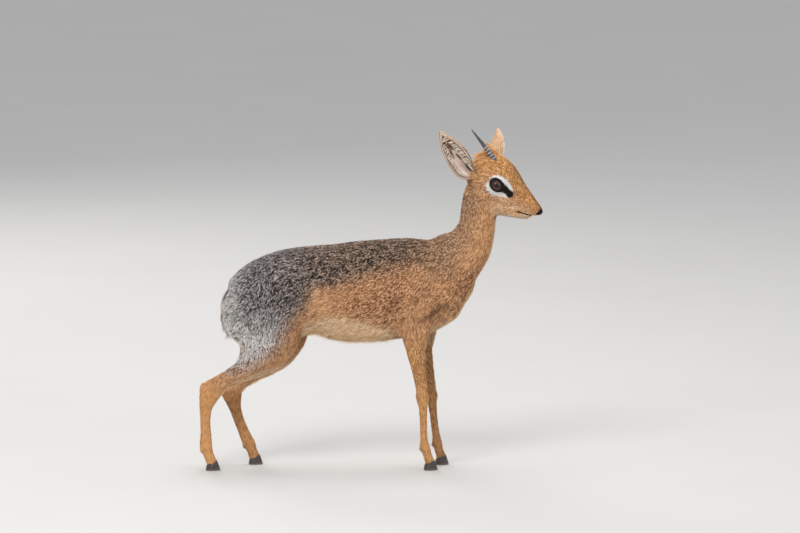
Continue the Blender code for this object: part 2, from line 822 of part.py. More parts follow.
def add_lock(bm, root, along, lean, flat, length, width, thick):
    """Adds one flat, tapered lock of hair that bends towards lean."""
    along = along.normalized()
    rings = []
    for k in range(LOCK_STEPS + 1):
        t = k / LOCK_STEPS
        centre = root + along * length * t + lean * length * t**2
        heading = (along + lean * 2 * t).normalized()
        across = flat.cross(heading).normalized()
        up = heading.cross(across)
        taper = (1 - t**1.5) * (1 - LOCK_TIP) + LOCK_TIP
        w, h = across * width * taper / 2, up * thick * taper / 2
        rings.append([bm.verts.new(centre + d) for d in (w, h, -w, -h)])
    made = [bm.faces.new(rings[0][::-1]), bm.faces.new(rings[-1])]
    for low, high in zip(rings, rings[1:]):
        for i in range(4):
            j = (i + 1) % 4
            made.append(bm.faces.new((low[i], low[j], high[j])))
            made.append(bm.faces.new((low[i], high[j], high[i])))
    bmesh.ops.recalc_face_normals(bm, faces=made)


def crest(host):
    """The tuft of long hair on the crown: bent locks on a low mound of skin."""
    draw = random.Random(CREST_SEED)
    frame = head_frame()
    turn = frame.to_3x3()
    bm = bmesh.new()
    add_ellipsoid(bm, CREST_MOUND, CREST_MOUND_RADII, frame, 16, 10)
    mound = new_object("crest", bm)
    locks = bpy.data.collections.new("locks")
    bpy.context.scene.collection.children.link(locks)
    for k in range(CREST_LOCKS):
        ring = math.sqrt((k + 0.5) / CREST_LOCKS)
        angle = k * GOLDEN_ANGLE
        s = ring * math.cos(angle)
        y = ring * math.sin(angle)
        root = Vector(CREST_MOUND) + Vector((s * CREST_SPREAD[0], y * CREST_SPREAD[1], 0))
        back = CREST_BACK_LEAN - CREST_FAN * s + draw.uniform(-CREST_STRAY, CREST_STRAY)
        side = CREST_SIDE_FAN * y + draw.uniform(-CREST_STRAY, CREST_STRAY)
        along = turn @ Vector((-back, side, 1))
        bend = Vector((CREST_BEND[0], CREST_BEND[1] * y, CREST_BEND[2]))
        lean = turn @ bend * draw.uniform(0.5, 1.4)
        shorter = 1 - CREST_SHORTENING * max(s, -0.6 * s, 0.3 * abs(y))
        length = CREST_LENGTH * shorter * draw.uniform(0.85, 1.08) * MM
        lock = bmesh.new()
        twist = [draw.uniform(-CREST_TWIST, CREST_TWIST) for _ in range(2)]
        flat = turn @ Vector((s + twist[0], y + twist[1], 0.1))
        add_lock(
            lock,
            frame @ (root * MM),
            along,
            lean,
            flat,
            length,
            CREST_LOCK_WIDTH * draw.uniform(0.85, 1.2) * MM,
            CREST_LOCK_THICKNESS * MM,
        )
        piece = new_object(f"lock_{k}", lock)
        bpy.context.scene.collection.objects.unlink(piece)
        locks.objects.link(piece)
    step = mound.modifiers.new("locks", "BOOLEAN")
    step.operation = "UNION"
    step.operand_type = "COLLECTION"
    step.collection = locks
    apply_modifiers(mound)
    for piece in list(locks.objects):
        bpy.data.objects.remove(piece)
    bpy.data.collections.remove(locks)
    keep_largest(mound)
    return seated(mound, host)


def ball(name, centre, radius, around=20, rows=12, turn=0.0):
    """A sphere in the head's own axes, its poles turned about the head's long axis."""
    place = head_frame() @ Matrix.Translation(Vector(centre) * MM)
    bm = bmesh.new()
    add_ellipsoid(bm, (0, 0, 0), (radius,) * 3, place @ Matrix.Rotation(turn, 4, "X"), around, rows)
    return new_object(name, bm)


def add_eye(head, side):
    """Gives the head lids and a socket on one side, and returns the eyeball."""
    frame = head_frame()
    centre = (EYE_PLACE[0], side * EYE_PLACE[1], EYE_PLACE[2])
    lids = ball("lids", centre, EYE_RADIUS + LID_THICKNESS, 22, 14, LID_POLE_TURN)
    boolean(head, lids, "UNION")
    outline = []
    for k in range(LID_POINTS):
        angle = math.tau * (k + 0.5) / LID_POINTS
        s = centre[0] + EYE_OPENING[0] * math.cos(angle)
        rise = math.sin(angle) * abs(math.sin(angle)) ** EYE_CORNER_ROUNDING
        t = centre[2] + EYE_OPENING[1] * rise
        outline.append((s * MM, t * MM))
    ends = sorted(side * (EYE_PLACE[1] + depth) * MM for depth in LID_CUT)
    boolean(head, prism("opening", outline, *ends, frame), "DIFFERENCE")
    socket = ball("socket", centre, EYE_RADIUS + GAP / MM)
    boolean(head, socket, "DIFFERENCE")
    return ball(f"eye_{SIDE_NAMES[side]}", centre, EYE_RADIUS)


def muzzle_half_width(s):
    """The half width of the muzzle at the line of the mouth."""
    return lerp(MUZZLE_WIDTHS, s)[0]


def lip_path(inset):
    """Points (s, y, t) along the mouth, from the right corner round the nose to the left."""
    path = []
    for k in range(-MOUTH_STEPS, MOUTH_STEPS + 1):
        f = 1 - abs(k) / MOUTH_STEPS
        bend = math.sin(f * math.pi / 2)
        s = MOUTH_CORNER[0] + (MOUTH_FRONT[0] - inset - MOUTH_CORNER[0]) * bend
        t = MOUTH_CORNER[1] + (MOUTH_FRONT[1] - MOUTH_CORNER[1]) * bend
        t += MOUTH_SAG * math.sin(f * math.pi)
        y = max(muzzle_half_width(s) - inset, 0) * math.cos(f * math.pi / 2) ** 0.5
        path.append(Vector((s, math.copysign(y, k), t)))
    return path


def mouth_cutter():
    """A thin curved blade that cuts the line between the lips."""
    bm = bmesh.new()
    outer, inner = lip_path(-MOUTH_DEPTH), lip_path(MOUTH_DEPTH)
    rows = []
    for far, near in zip(outer, inner):
        up = Vector((0, 0, MOUTH_GAP / 2))
        corners = (far + up, near + up * 0.6, near - up * 0.6, far - up)
        rows.append([bm.verts.new(p * MM) for p in corners])
    bm.faces.new(rows[0][::-1])
    bm.faces.new(rows[-1])
    for low, high in zip(rows, rows[1:]):
        for i in range(4):
            j = (i + 1) % 4
            bm.faces.new((low[i], low[j], high[j]))
            bm.faces.new((low[i], high[j], high[i]))
    bmesh.ops.recalc_face_normals(bm, faces=bm.faces)
    bmesh.ops.transform(bm, matrix=head_frame(), verts=bm.verts)
    return new_object("mouth_cutter", bm)


def add_nostril(head, side):
    """Cuts a slanted comma of a nostril."""
    bm = bmesh.new()
    frame = head_frame() @ Matrix.Translation(
        Vector((NOSTRIL_PLACE[0], side * NOSTRIL_PLACE[1], NOSTRIL_PLACE[2])) * MM
    )
    frame = frame @ Matrix.Rotation(side * NOSTRIL_TURN, 4, "Z")
    frame = frame @ Matrix.Rotation(NOSTRIL_SLANT, 4, "Y")
    add_ellipsoid(bm, (0, 0, 0), NOSTRIL_RADII, frame, 14, 10)
    boolean(head, new_object("nostril_cutter", bm), "DIFFERENCE")


def face_the_head(head):
    """Gives the head its lids, mouth and nostrils, and returns the two eyeballs."""
    eyes = [add_eye(head, side) for side in (RIGHT, LEFT)]
    boolean(head, mouth_cutter(), "DIFFERENCE")
    for side in (RIGHT, LEFT):
        add_nostril(head, side)
    keep_largest(head)
    return eyes


def material(name, colour, roughness):
    """A plain Principled material."""
    made = bpy.data.materials.new(name)
    made.use_nodes = True
    shader = made.node_tree.nodes["Principled BSDF"]
    shader.inputs["Base Color"].default_value = (*colour, 1)
    shader.inputs["Roughness"].default_value = roughness
    shader.inputs["Metallic"].default_value = 0
    return made


def paint(objects):
    """Gives every piece its material and smooth shading."""
    made = {key: material(key, *look) for key, look in LOOKS.items()}
    for obj in objects:
        key = next((k for k in LOOKS if any(w in obj.name for w in LOOK_WORDS[k])), "tan_coat")
        obj.data.materials.clear()
        obj.data.materials.append(made[key])
        obj.data.shade_smooth()
        obj.data.set_sharp_from_angle(angle=math.radians(50))


def stand_on_origin(objects):
    """Moves everything so that the middle of its box stands over the origin."""
    points = []
    for obj in objects:
        flat = np.empty(len(obj.data.vertices) * 3)
        obj.data.vertices.foreach_get("co", flat)
        points.append(flat.reshape(-1, 3))
    every = np.vstack(points)
    middle = (every.min(0) + every.max(0)) / 2
    for obj in objects:
        obj.data.transform(Matrix.Translation((-middle[0], -middle[1], 0)))


def clear_scene():
    for obj in list(bpy.data.objects):
        bpy.data.objects.remove(obj)


def main():
    clear_scene()
    flesh = melted_flesh()
    whole = copy_of(flesh, "whole")
    nodes = parted_flesh(flesh)
    pieces = list(nodes.values())
    pieces += face_the_head(nodes["head"])
    for name, spec in EARS.items():
        pieces.append(ear(name, spec, whole))
    for side in (RIGHT, LEFT):
        pieces.append(horn(f"horn_{SIDE_NAMES[side]}", side, whole))
    tuft = crest(whole)
    for obj in pieces:
        if "horn" in obj.name:
            boolean(tuft, inflated(obj, SEAT_GAP), "DIFFERENCE")
    keep_largest(tuft)
    pieces.append(tuft)
    bm = bmesh.new()
    add_middle_tube(bm, TAIL, 14, 12)
    pieces.append(seated(new_object("tail", bm), whole))
    for name, foot in FEET.items():
        for side in (RIGHT, LEFT):
            part = "outer" if side * foot["side"] > 0 else "inner"
            pieces.append(hoof(f"hoof_{name}_{part}", foot, side))
    bpy.data.objects.remove(whole)
    stand_on_origin(pieces)
    paint(pieces)


main()
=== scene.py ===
"""Dik-dik buck at life size: one skin, its coat of mesh tufts, and the fine head and feet.

Everything is in metres in the frame's own axes: +X to the nose, +Y to the animal's left,
+Z up. Tables of the body's sections are in millimetres. The skin is lofted from the same
sections as the solid flesh, and lies inside it by the depth of the coat.
"""

import json
import logging
import math
from collections.abc import Callable
from dataclasses import dataclass, field
from enum import IntEnum

import bmesh
import bpy
import numpy as np
from bpy.types import Material, Mesh, Node, NodeOutputs, NodeSocket, NodeTree, Object
from mathutils import Matrix, Vector
from mathutils.bvhtree import BVHTree
from mathutils.kdtree import KDTree
from numpy.random import Generator, default_rng

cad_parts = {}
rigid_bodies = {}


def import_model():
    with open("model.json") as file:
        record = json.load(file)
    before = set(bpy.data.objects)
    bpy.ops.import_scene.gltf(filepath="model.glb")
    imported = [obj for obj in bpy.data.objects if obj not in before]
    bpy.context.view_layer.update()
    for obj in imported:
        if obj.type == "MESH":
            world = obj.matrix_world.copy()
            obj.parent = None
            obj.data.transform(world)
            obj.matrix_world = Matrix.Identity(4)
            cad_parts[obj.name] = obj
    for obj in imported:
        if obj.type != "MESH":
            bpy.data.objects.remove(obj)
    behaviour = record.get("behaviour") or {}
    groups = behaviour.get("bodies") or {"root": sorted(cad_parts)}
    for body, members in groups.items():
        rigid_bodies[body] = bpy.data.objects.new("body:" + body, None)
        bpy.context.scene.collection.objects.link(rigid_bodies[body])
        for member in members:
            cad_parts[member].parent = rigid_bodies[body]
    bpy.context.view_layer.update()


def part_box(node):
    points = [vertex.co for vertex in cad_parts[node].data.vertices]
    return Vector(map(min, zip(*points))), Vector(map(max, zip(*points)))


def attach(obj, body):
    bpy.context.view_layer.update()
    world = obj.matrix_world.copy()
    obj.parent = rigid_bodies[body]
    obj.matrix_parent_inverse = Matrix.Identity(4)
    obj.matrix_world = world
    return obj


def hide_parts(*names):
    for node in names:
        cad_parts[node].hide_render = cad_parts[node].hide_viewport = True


MM = 0.001
OFBAKE_PATCH = 0.003
MERGE_DISTANCE = 1e-6
LOG = logging.getLogger("dik_dik")
Rows = tuple[tuple[float, ...], ...]
Array = np.ndarray
Pair = tuple[float, float]
Triple = tuple[float, float, float]
Input = float | tuple[float, ...] | NodeSocket


class Side(IntEnum):
    """A side of the animal, as the sign of Y."""

    RIGHT = -1
    LEFT = 1

    @property
    def word(self) -> str:
        """The side's name in node names."""
        return self.name.lower()


class Kind(IntEnum):
    """The regions of the body that differ in the length and lie of their coat."""

    HEAD = 0
    NECK = 1
    TRUNK = 2
    HAUNCH = 3
    LEG = 4
    TAIL = 5


def unit(v: Array) -> Array:
    """Each row of v at length one.

    Args:
        v: An array whose last axis holds vectors.

    Returns:
        The same directions, at length one.
    """
    v = np.asarray(v, float)
    return v / np.maximum(np.linalg.norm(v, axis=-1, keepdims=True), 1e-12)


def ramp(x: Array, low: float, high: float) -> Array:
    """A soft step from 0 at low to 1 at high.

    Args:
        x: Where it is read.
        low: The value of x where the step starts.
        high: The value of x where it ends.

    Returns:
        Values from 0 to 1.
    """
    t = np.clip((np.asarray(x, float) - low) / (high - low), 0, 1)
    return t * t * (3 - 2 * t)


def bell(x: Array, width: float) -> Array:
    """A round hump of height 1 at x = 0, which falls off over a width."""
    return np.exp(-((x / width) ** 2))


def spline(rows: Rows, count: int) -> Array:
    """Catmull-Rom samples of rows of millimetres, evenly spaced by row, in metres.

    Args:
        rows: The guide rows.
        count: How many samples to take.

    Returns:
        An array of count rows.
    """
    table = np.array(rows, float) * MM
    ends = np.vstack([2 * table[0] - table[1], table, 2 * table[-1] - table[-2]])
    at = np.linspace(0, len(table) - 1, count)
    first = np.minimum(at.astype(int), len(table) - 2)
    t = (at - first)[:, None]
    a, b, c, d = (ends[first + k] for k in range(4))
    return 0.5 * (
        2 * b
        + (c - a) * t
        + (2 * a - 5 * b + 4 * c - d) * t**2
        + (3 * b - a - 3 * c + d) * t**3
    )


def ripple(points: Array, wavelength: float) -> Array:
    """A cheap smooth irregularity between about -1 and 1.

    Args:
        points: Places, in metres.
        wavelength: The usual distance between two swells, in metres.

    Returns:
        One value for each place.
    """
    q = points * (math.tau / wavelength)
    first = np.sin(q[:, 0] * 1.1 + 1.7 * np.sin(q[:, 2] * 0.7 + 0.4))
    second = np.sin(q[:, 2] * 1.3 + 1.3 * np.sin(q[:, 1] * 0.9 + 2.1))
    third = np.sin(q[:, 1] * 1.2 + q[:, 0] * 0.6 + 1.1 * np.sin(q[:, 2] * 1.7))
    return (first + second + third) / 3


def edge_distance(places: Array, outline: Rows) -> Array:
    """The distance of flat places to a closed outline, positive inside it.

    Args:
        places: Pairs of coordinates.
        outline: The corners of the outline, in the same unit.

    Returns:
        One signed distance for each place.
    """
    corners = np.array(outline, float)
    best = np.full(len(places), 1e9)
    inside = np.zeros(len(places), bool)
    for a, b in zip(corners, np.roll(corners, -1, 0)):
        run = b - a
        t = np.clip((places - a) @ run / (run @ run), 0, 1)
        best = np.minimum(best, np.linalg.norm(places - a - t[:, None] * run, axis=1))
        crosses = (a[1] > places[:, 1]) != (b[1] > places[:, 1])
        rise = run[1] if abs(run[1]) > 1e-9 else 1e-9
        inside ^= crosses & (places[:, 0] < a[0] + run[0] * (places[:, 1] - a[1]) / rise)
    return np.where(inside, best, -best)


def path_distance(points: Array, path: Array) -> Array:
    """The distance of points to a path of straight runs.

    Args:
        points: Places.
        path: The path's corners.

    Returns:
        One distance for each point.
    """
    best = np.full(len(points), 1e9)
    for a, b in zip(path[:-1], path[1:]):
        run = b - a
        t = np.clip((points - a) @ run / max(run @ run, 1e-18), 0, 1)
        best = np.minimum(best, np.linalg.norm(points - a - t[:, None] * run, axis=1))
    return best


def new_object(name: str, mesh: Mesh) -> Object:
    """Puts a mesh into the scene.

    Args:
        name: The new object's name.
        mesh: Its mesh.

    Returns:
        The object.
    """
    obj = bpy.data.objects.new(name, mesh)
    bpy.context.scene.collection.objects.link(obj)
    return obj


def mesh_from(name: str, points: Array, faces: list[Array]) -> Mesh:
    """A mesh from arrays, shaded smooth.

    Args:
        name: The mesh's name.
        points: Its vertices.
        faces: Arrays of corner indices, each with one number of corners.

    Returns:
        The mesh.
    """
    mesh = bpy.data.meshes.new(name)
    corners = np.concatenate([f.ravel() for f in faces]).astype(np.int32)
    sizes = np.concatenate([np.full(len(f), f.shape[1], np.int32) for f in faces])
    starts = np.concatenate([[0], np.cumsum(sizes)[:-1]]).astype(np.int32)
    mesh.vertices.add(len(points))
    mesh.vertices.foreach_set("co", np.asarray(points, np.float32).ravel())
    mesh.loops.add(len(corners))
    mesh.loops.foreach_set("vertex_index", corners)
    mesh.polygons.add(len(sizes))
    mesh.polygons.foreach_set("loop_start", starts)
    mesh.update(calc_edges=True)
    mesh.shade_smooth()
    return mesh


def paint_points(mesh: Mesh, name: str, values: Array) -> None:
    """Stores four numbers for each vertex.

    Args:
        mesh: The mesh.
        name: The attribute's name.
        values: An array of four columns.
    """
    layer = mesh.attributes.new(name, "FLOAT_COLOR", "POINT")
    layer.data.foreach_set("color", np.asarray(values, np.float32).ravel())


def vertex_points(mesh: Mesh) -> Array:
    """The vertices of a mesh as rows.

    Args:
        mesh: The mesh.

    Returns:
        One row for each vertex.
    """
    flat = np.empty(len(mesh.vertices) * 3, np.float32)
    mesh.vertices.foreach_get("co", flat)
    return flat.reshape(-1, 3).astype(float)


def vertex_normals(mesh: Mesh) -> Array:
    """The vertex normals of a mesh as rows.

    Args:
        mesh: The mesh.

    Returns:
        One row for each vertex.
    """
    flat = np.empty(len(mesh.vertices) * 3, np.float32)
    mesh.vertex_normals.foreach_get("vector", flat)
    return flat.reshape(-1, 3).astype(float)


def set_points(mesh: Mesh, points: Array) -> None:
    """Moves the vertices of a mesh."""
    mesh.vertices.foreach_set("co", np.asarray(points, np.float32).ravel())
    mesh.update()


def edge_ends(mesh: Mesh) -> Array:
    """The two vertex indices of each edge as rows.

    Args:
        mesh: The mesh.

    Returns:
        One pair of vertex numbers for each edge.
    """
    flat = np.empty(len(mesh.edges) * 2, np.int32)
    mesh.edges.foreach_get("vertices", flat)
    return flat.reshape(-1, 2)


def reshape(obj: Object, change: Callable[[bmesh.types.BMesh], object]) -> None:
    """Makes one change to a piece's mesh.

    Args:
        obj: The piece.
        change: What is done to its editable form.
    """
    bm = bmesh.new()
    bm.from_mesh(obj.data)
    change(bm)
    bm.to_mesh(obj.data)
    bm.free()


def merge(obj: Object) -> None:
    """Joins the vertices of a piece that lie at one place."""
    reshape(obj, lambda bm: bmesh.ops.remove_doubles(bm, verts=bm.verts, dist=MERGE_DISTANCE))


def turn_outward(obj: Object) -> None:
    """Turns all faces of a closed piece outward."""
    reshape(obj, lambda bm: bmesh.ops.recalc_face_normals(bm, faces=bm.faces))


def relax(values: Array, ends: Array, share: Array, rounds: int) -> Array:
    """Draws each vertex's values towards the mean of its neighbours'.

    Args:
        values: Rows of numbers, one for each vertex.
        ends: The vertex indices of each edge.
        share: How far each vertex goes in a round, from 0 to 1.
        rounds: How many rounds are made.

    Returns:
        The new values.
    """
    here = np.r_[ends[:, 0], ends[:, 1]]
    there = np.r_[ends[:, 1], ends[:, 0]]
    count = np.maximum(np.bincount(here, minlength=len(values)), 1)[:, None]
    values = values.copy()
    for _ in range(rounds):
        near = values[there]
        total = np.stack(
            [np.bincount(here, near[:, k], minlength=len(values)) for k in range(values.shape[1])],
            1,
        )
        values += share[:, None] * (total / count - values)
    return values


def grid_faces(rows: int, columns: int, wrap: bool = False) -> Array:
    """The quads of a grid of vertices that is stored row by row.

    Args:
        rows: How many rows of vertices there are.
        columns: How many vertices each row has.
        wrap: Whether each row closes on itself.

    Returns:
        An array with four indices for each face.
    """
    i, j = np.meshgrid(np.arange(rows - 1), np.arange(columns - (not wrap)), indexing="ij")
    i, j = i.ravel(), j.ravel()
    k = (j + 1) % columns
    return np.stack(
        [i * columns + j, i * columns + k, (i + 1) * columns + k, (i + 1) * columns + j], 1
    )


def tube_faces(rows: int, sides: int) -> list[Array]:
    """The faces of a closed tube of rings: its wall and its two ends.

    Args:
        rows: How many rings there are.
        sides: How many vertices each ring has.

    Returns:
        The quads, and one face of many corners for each end.
    """
    first = np.arange(sides)[None, ::-1]
    last = np.arange(sides)[None] + (rows - 1) * sides
    return [grid_faces(rows, sides, True), first, last]


@dataclass
class Patches:
    """Vertices and faces gathered from several forms into one mesh."""

    points: list[Array] = field(default_factory=list)
    faces: list[Array] = field(default_factory=list)
    total: int = 0

    def add(self, points: Array, *faces: Array) -> None:
        """Adds one form.

        Args:
            points: The form's vertices.
            faces: Arrays of indices into those vertices.
        """
        self.points.append(points)
        self.faces += [f + self.total for f in faces if len(f)]
        self.total += len(points)

    def mesh(self, name: str) -> Mesh:
        """All the forms as one mesh of that name."""
        return mesh_from(name, np.vstack(self.points), self.faces)


@dataclass(frozen=True)
class HeadAxes:
    """The head's own axes: s runs to the nose, y to the left and t up to the brow."""

    origin: Triple = (167.8, 0, 509.4)
    pitch: float = math.radians(33.5)
    yaw: float = math.radians(-3)
    roll: float = math.radians(-5)
    shift: Triple = (0, 0, 0)

    def matrix(self) -> Matrix:
        """The matrix from the head's axes to the frame's.

        Returns:
            The matrix of four rows.
        """
        turn = Matrix.Rotation(self.yaw, 4, "Z") @ Matrix.Rotation(self.pitch, 4, "Y")
        turn = turn @ Matrix.Rotation(self.roll, 4, "X")
        place = Vector(self.origin) * MM + Vector(self.shift)
        return Matrix.Translation(place) @ turn

    def world(self, points: Array) -> Array:
        """Places in the head's axes, in millimetres, as places in the frame."""
        m = np.array(self.matrix())
        return np.asarray(points, float) * MM @ m[:3, :3].T + m[:3, 3]

    def local(self, points: Array) -> Array:
        """Places in the frame as places in the head's axes, in millimetres."""
        m = np.array(self.matrix())
        return (np.asarray(points, float) - m[:3, 3]) @ m[:3, :3] / MM

    def turn(self, vectors: Array) -> Array:
        """Directions in the head's axes as directions in the frame."""
        return np.asarray(vectors, float) @ np.array(self.matrix())[:3, :3].T


    def onto(self, surface: BVHTree, side: Side, start: Triple) -> Array | None:
        """The place where a level line from one side meets a surface.

        Args:
            surface: The surface.
            side: The side that the line comes from.
            start: The line's start beside the head, in the head's axes.

        Returns:
            The place in the head's axes, or None where the line misses.
        """
        heading = self.turn([0, -side, 0])
        hit = surface.ray_cast(Vector(self.world(start)), Vector(heading))[0]
        return None if hit is None else self.local(np.array(hit))


@dataclass
class Tube:
    """A lofted tube of flesh: a path with a depth and a width at each step."""

    name: str
    kind: Kind
    centres: Array
    deep: Array
    wide: Array
    sides: int = 28
    egg: float = 0.0
    square: float = 1.0
    flows_back: bool = False

    def axes(self) -> tuple[Array, Array, Array]:
        """The path's direction, its side axis and its depth axis at each step.

        Returns:
            One row of each for every step.
        """
        along = unit(np.gradient(self.centres, axis=0))
        side = unit(np.array([0, 1, 0]) - along * along[:, 1:2])
        return along, side, np.cross(along, side)

    def point(self, at: float, angle: float) -> Array:
        """A place on the tube's surface.

        Args:
            at: How far along the tube, from 0 to 1.
            angle: Round the tube in degrees, 0 at +Y and 90 at the front or top.

        Returns:
            The place.
        """
        _, side, depth = self.axes()
        k = at * (len(self.centres) - 1)
        steps = np.arange(len(self.centres))
        centre = [np.interp(k, steps, self.centres[:, i]) for i in range(3)]
        across = np.array([np.interp(k, steps, side[:, i]) for i in range(3)])
        down = np.array([np.interp(k, steps, depth[:, i]) for i in range(3)])
        wide, deep = np.interp(k, steps, self.wide), np.interp(k, steps, self.deep)
        turn = math.radians(angle)
        return np.array(centre) + across * wide * math.cos(turn) - down * deep * math.sin(turn)

    def add_to(self, patches: Patches) -> None:
        """Adds the closed tube to a gathering of forms.

        Args:
            patches: Where it is added.
        """
        _, side, depth = self.axes()
        angle = np.arange(self.sides) * math.tau / self.sides
        c = np.sign(np.cos(angle)) * np.abs(np.cos(angle)) ** self.square
        s = np.sign(np.sin(angle)) * np.abs(np.sin(angle)) ** self.square
        across = (c * (1 + self.egg * s))[None, :, None] * self.wide[:, None, None] * side[:, None]
        along = s[None, :, None] * self.deep[:, None, None] * -depth[:, None]
        points = (self.centres[:, None] + across + along).reshape(-1, 3)
        patches.add(points, *tube_faces(len(self.centres), self.sides))


@dataclass
class Flesh:
    """The body's sections, in millimetres, and the tubes and masses made from them."""

    axes: HeadAxes
    trunk: Rows = (
        (-236, 296, 246, 14), (-226, 313, 230, 32), (-210, 335, 222, 45), (-184, 355, 219, 53),
        (-140, 373, 223, 56), (-92, 380, 228, 55), (-46, 385, 217, 56), (-2, 389, 216, 56),
        (40, 392, 220, 52), (80, 394, 227, 46), (114, 392, 243, 41), (142, 384, 264, 35),
        (163, 363, 290, 26), (176, 343, 314, 13),
    )
    neck: Rows = (
        (92, 304, 66, 43), (114, 330, 60, 40), (141, 355, 52, 35), (166, 379, 41, 30),
        (179.5, 411, 32.5, 25.5), (183.5, 444, 31, 24), (187, 470, 28.5, 24), (192, 490, 22, 20),
        (197, 504, 10, 10),
    )
    skull: Rows = (
        (-6, 12, -6, 8), (0, 24, -17, 18), (12, 39, -27, 23), (30, 50, -34, 24.5), (48, 50.5, -34, 24),
        (66, 44.5, -30, 20.5), (84, 36, -24, 16.5), (102, 28.5, -17, 13.2), (118, 22.5, -10.5, 11.5),
        (130, 18, -5, 10.2), (139, 13.5, -1.5, 8), (145, 8.5, 1.5, 4),
    )
    jaw: Rows = (
        (14, -8, -32, 12), (34, -14, -40, 17), (56, -16, -42.5, 16), (80, -13, -37.5, 12.5),
        (100, -9, -29.5, 9.5), (116, -8, -22.5, 8), (127, -7, -16, 6.5), (131.5, -8, -12.5, 3.5),
    )
    head_masses: tuple = (
        ((50, 17.5, 7), (20, 15.5, 17.5)),
        ((36, 13, -14), (24, 11.5, 20)),
        ((4, 13, 4), (9, 6.5, 11)),
        ((125, 5, 3.5), (13, 6.5, 8)),
    )
    foreleg_right: Rows = (
        (80, -27, 304, 40, 20), (77, -30, 270, 34, 21), (75, -32, 241, 27, 18),
        (76, -33, 214, 19, 14.5), (79, -32.5, 192, 15.6, 12), (83, -31.5, 166, 12, 10),
        (86.5, -30.5, 139, 10.2, 9), (88, -30, 125, 9.8, 9.5), (88.6, -29.5, 111, 8.3, 8),
        (89.2, -29, 94, 7, 6.6), (89.8, -28.5, 72, 6.6, 6.3), (90.6, -28, 51, 7, 6.9),
        (92, -28, 40, 8.6, 8.3), (96, -28, 27, 7.6, 8), (101, -28, 12, 8.6, 8.6),
    )
    foreleg_left: Rows = (
        (86, 27, 300, 40, 20), (87, 30, 266, 32, 21), (87.5, 32, 230, 25, 17.5),
        (88.5, 33, 205, 17.5, 14.5), (92, 32.5, 184, 14.2, 12), (97, 31.5, 158, 11.2, 10),
        (101.4, 30.5, 131, 10.2, 9), (103, 30, 120, 9.8, 9.5), (104.4, 29.5, 106, 8.3, 8),
        (106.4, 29, 90, 7, 6.6), (109, 28.5, 66, 6.7, 6.3), (111.4, 28, 50, 7.1, 6.9),
        (113, 28, 38, 8.7, 8.3), (116, 28, 26, 7.7, 8), (120.5, 28, 12, 8.6, 8.6),
    )
    haunch_right: Rows = (
        (-172, -20, 334, 48, 22), (-175, -25, 300, 65, 31), (-179, -27, 262, 71, 32),
        (-180, -28, 228, 62, 28), (-186, -30, 203, 46, 22), (-199, -32, 185, 30, 17),
        (-216, -33, 171, 20, 13.5), (-238, -34, 158, 16.4, 11), (-258, -34, 147, 15.6, 10),
        (-273, -34, 140, 14.5, 9),
    )
    haunch_left: Rows = (
        (-170, 20, 330, 50, 22), (-170, 25, 298, 66, 31), (-168, 27, 258, 70, 32),
        (-166, 28, 222, 60, 28), (-170, 30, 196, 44, 22), (-181, 32, 177, 29, 17),
        (-198, 33, 161, 19.5, 13.5), (-217, 33, 147, 16.4, 11), (-231, 33, 137, 15.6, 10),
        (-243, 33, 131, 14, 9),
    )
    shank_right: Rows = (
        (-268, -34, 146, 19, 8), (-271, -34, 137, 19.5, 10.5), (-275.5, -34, 122, 15.5, 10.5),
        (-279, -33.5, 107, 10.8, 8.6), (-280, -33, 88, 8.9, 7), (-279.6, -32, 68, 9.2, 7),
        (-279.5, -31, 51, 10.3, 8), (-279, -31, 39, 10.8, 9), (-275, -31, 27, 9, 8.6),
        (-269, -31, 12, 9.4, 9.2),
    )
    shank_left: Rows = (
        (-239, 33, 139, 19, 8), (-238, 33, 129, 19.5, 10.5), (-235, 33, 114, 15.5, 10.5),
        (-231.5, 32.5, 99, 11, 8.6), (-226.5, 32, 82, 9.2, 7), (-219, 31.5, 62, 9.2, 7),
        (-212.5, 31, 46, 10.2, 8), (-207.5, 31, 35.5, 10.8, 9), (-203, 31, 25, 9, 8.6),
        (-198, 31, 11, 9.4, 9.2),
    )
    tail: Rows = (
        (-214, 318, 7, 9), (-230, 308, 9, 11.5), (-242, 290, 9, 12), (-246, 268, 8.5, 11),
        (-246, 248, 7, 9), (-242, 231, 3.6, 5), (-240, 223, 1, 1.5),
    )
    dewclaws: Rows = ((85.5, -28, 37), (106.5, 28, 35), (-286.5, -31, 35), (-215.5, 31, 32))
    dewclaw_spread: float = 4.5
    dewclaw_radii: Triple = (4.2, 2.6, 5)

    def profile(self, name: str, rows: Rows, kind: Kind, count: int, sides: int) -> Tube:
        """A tube that runs along X from rows of: run, top, bottom, half width.

        Args:
            name: Its name.
            rows: Its sections.
            kind: The region of the body.
            count: How many steps it gets.
            sides: How many corners each step has.

        Returns:
            The tube.
        """
        run, top, bottom, wide = spline(rows, count).T
        centres = np.stack([run, 0 * run, (top + bottom) / 2], 1)
        return Tube(name, kind, centres, (top - bottom) / 2, wide, sides)

    def limb(self, name: str, rows: Rows, kind: Kind) -> Tube:
        """A tube from rows of: x, side offset, z, half depth, half width."""
        x, y, z, deep, wide = spline(rows, 60).T
        return Tube(name, kind, np.stack([x, y, z], 1), deep, wide, 28)

    def middle(self, name: str, rows: Rows, kind: Kind) -> Tube:
        """A tube in the middle plane from rows of: x, z, half depth, half width."""
        x, z, deep, wide = spline(rows, 40).T
        return Tube(name, kind, np.stack([x, 0 * x, z], 1), deep, wide, 32)

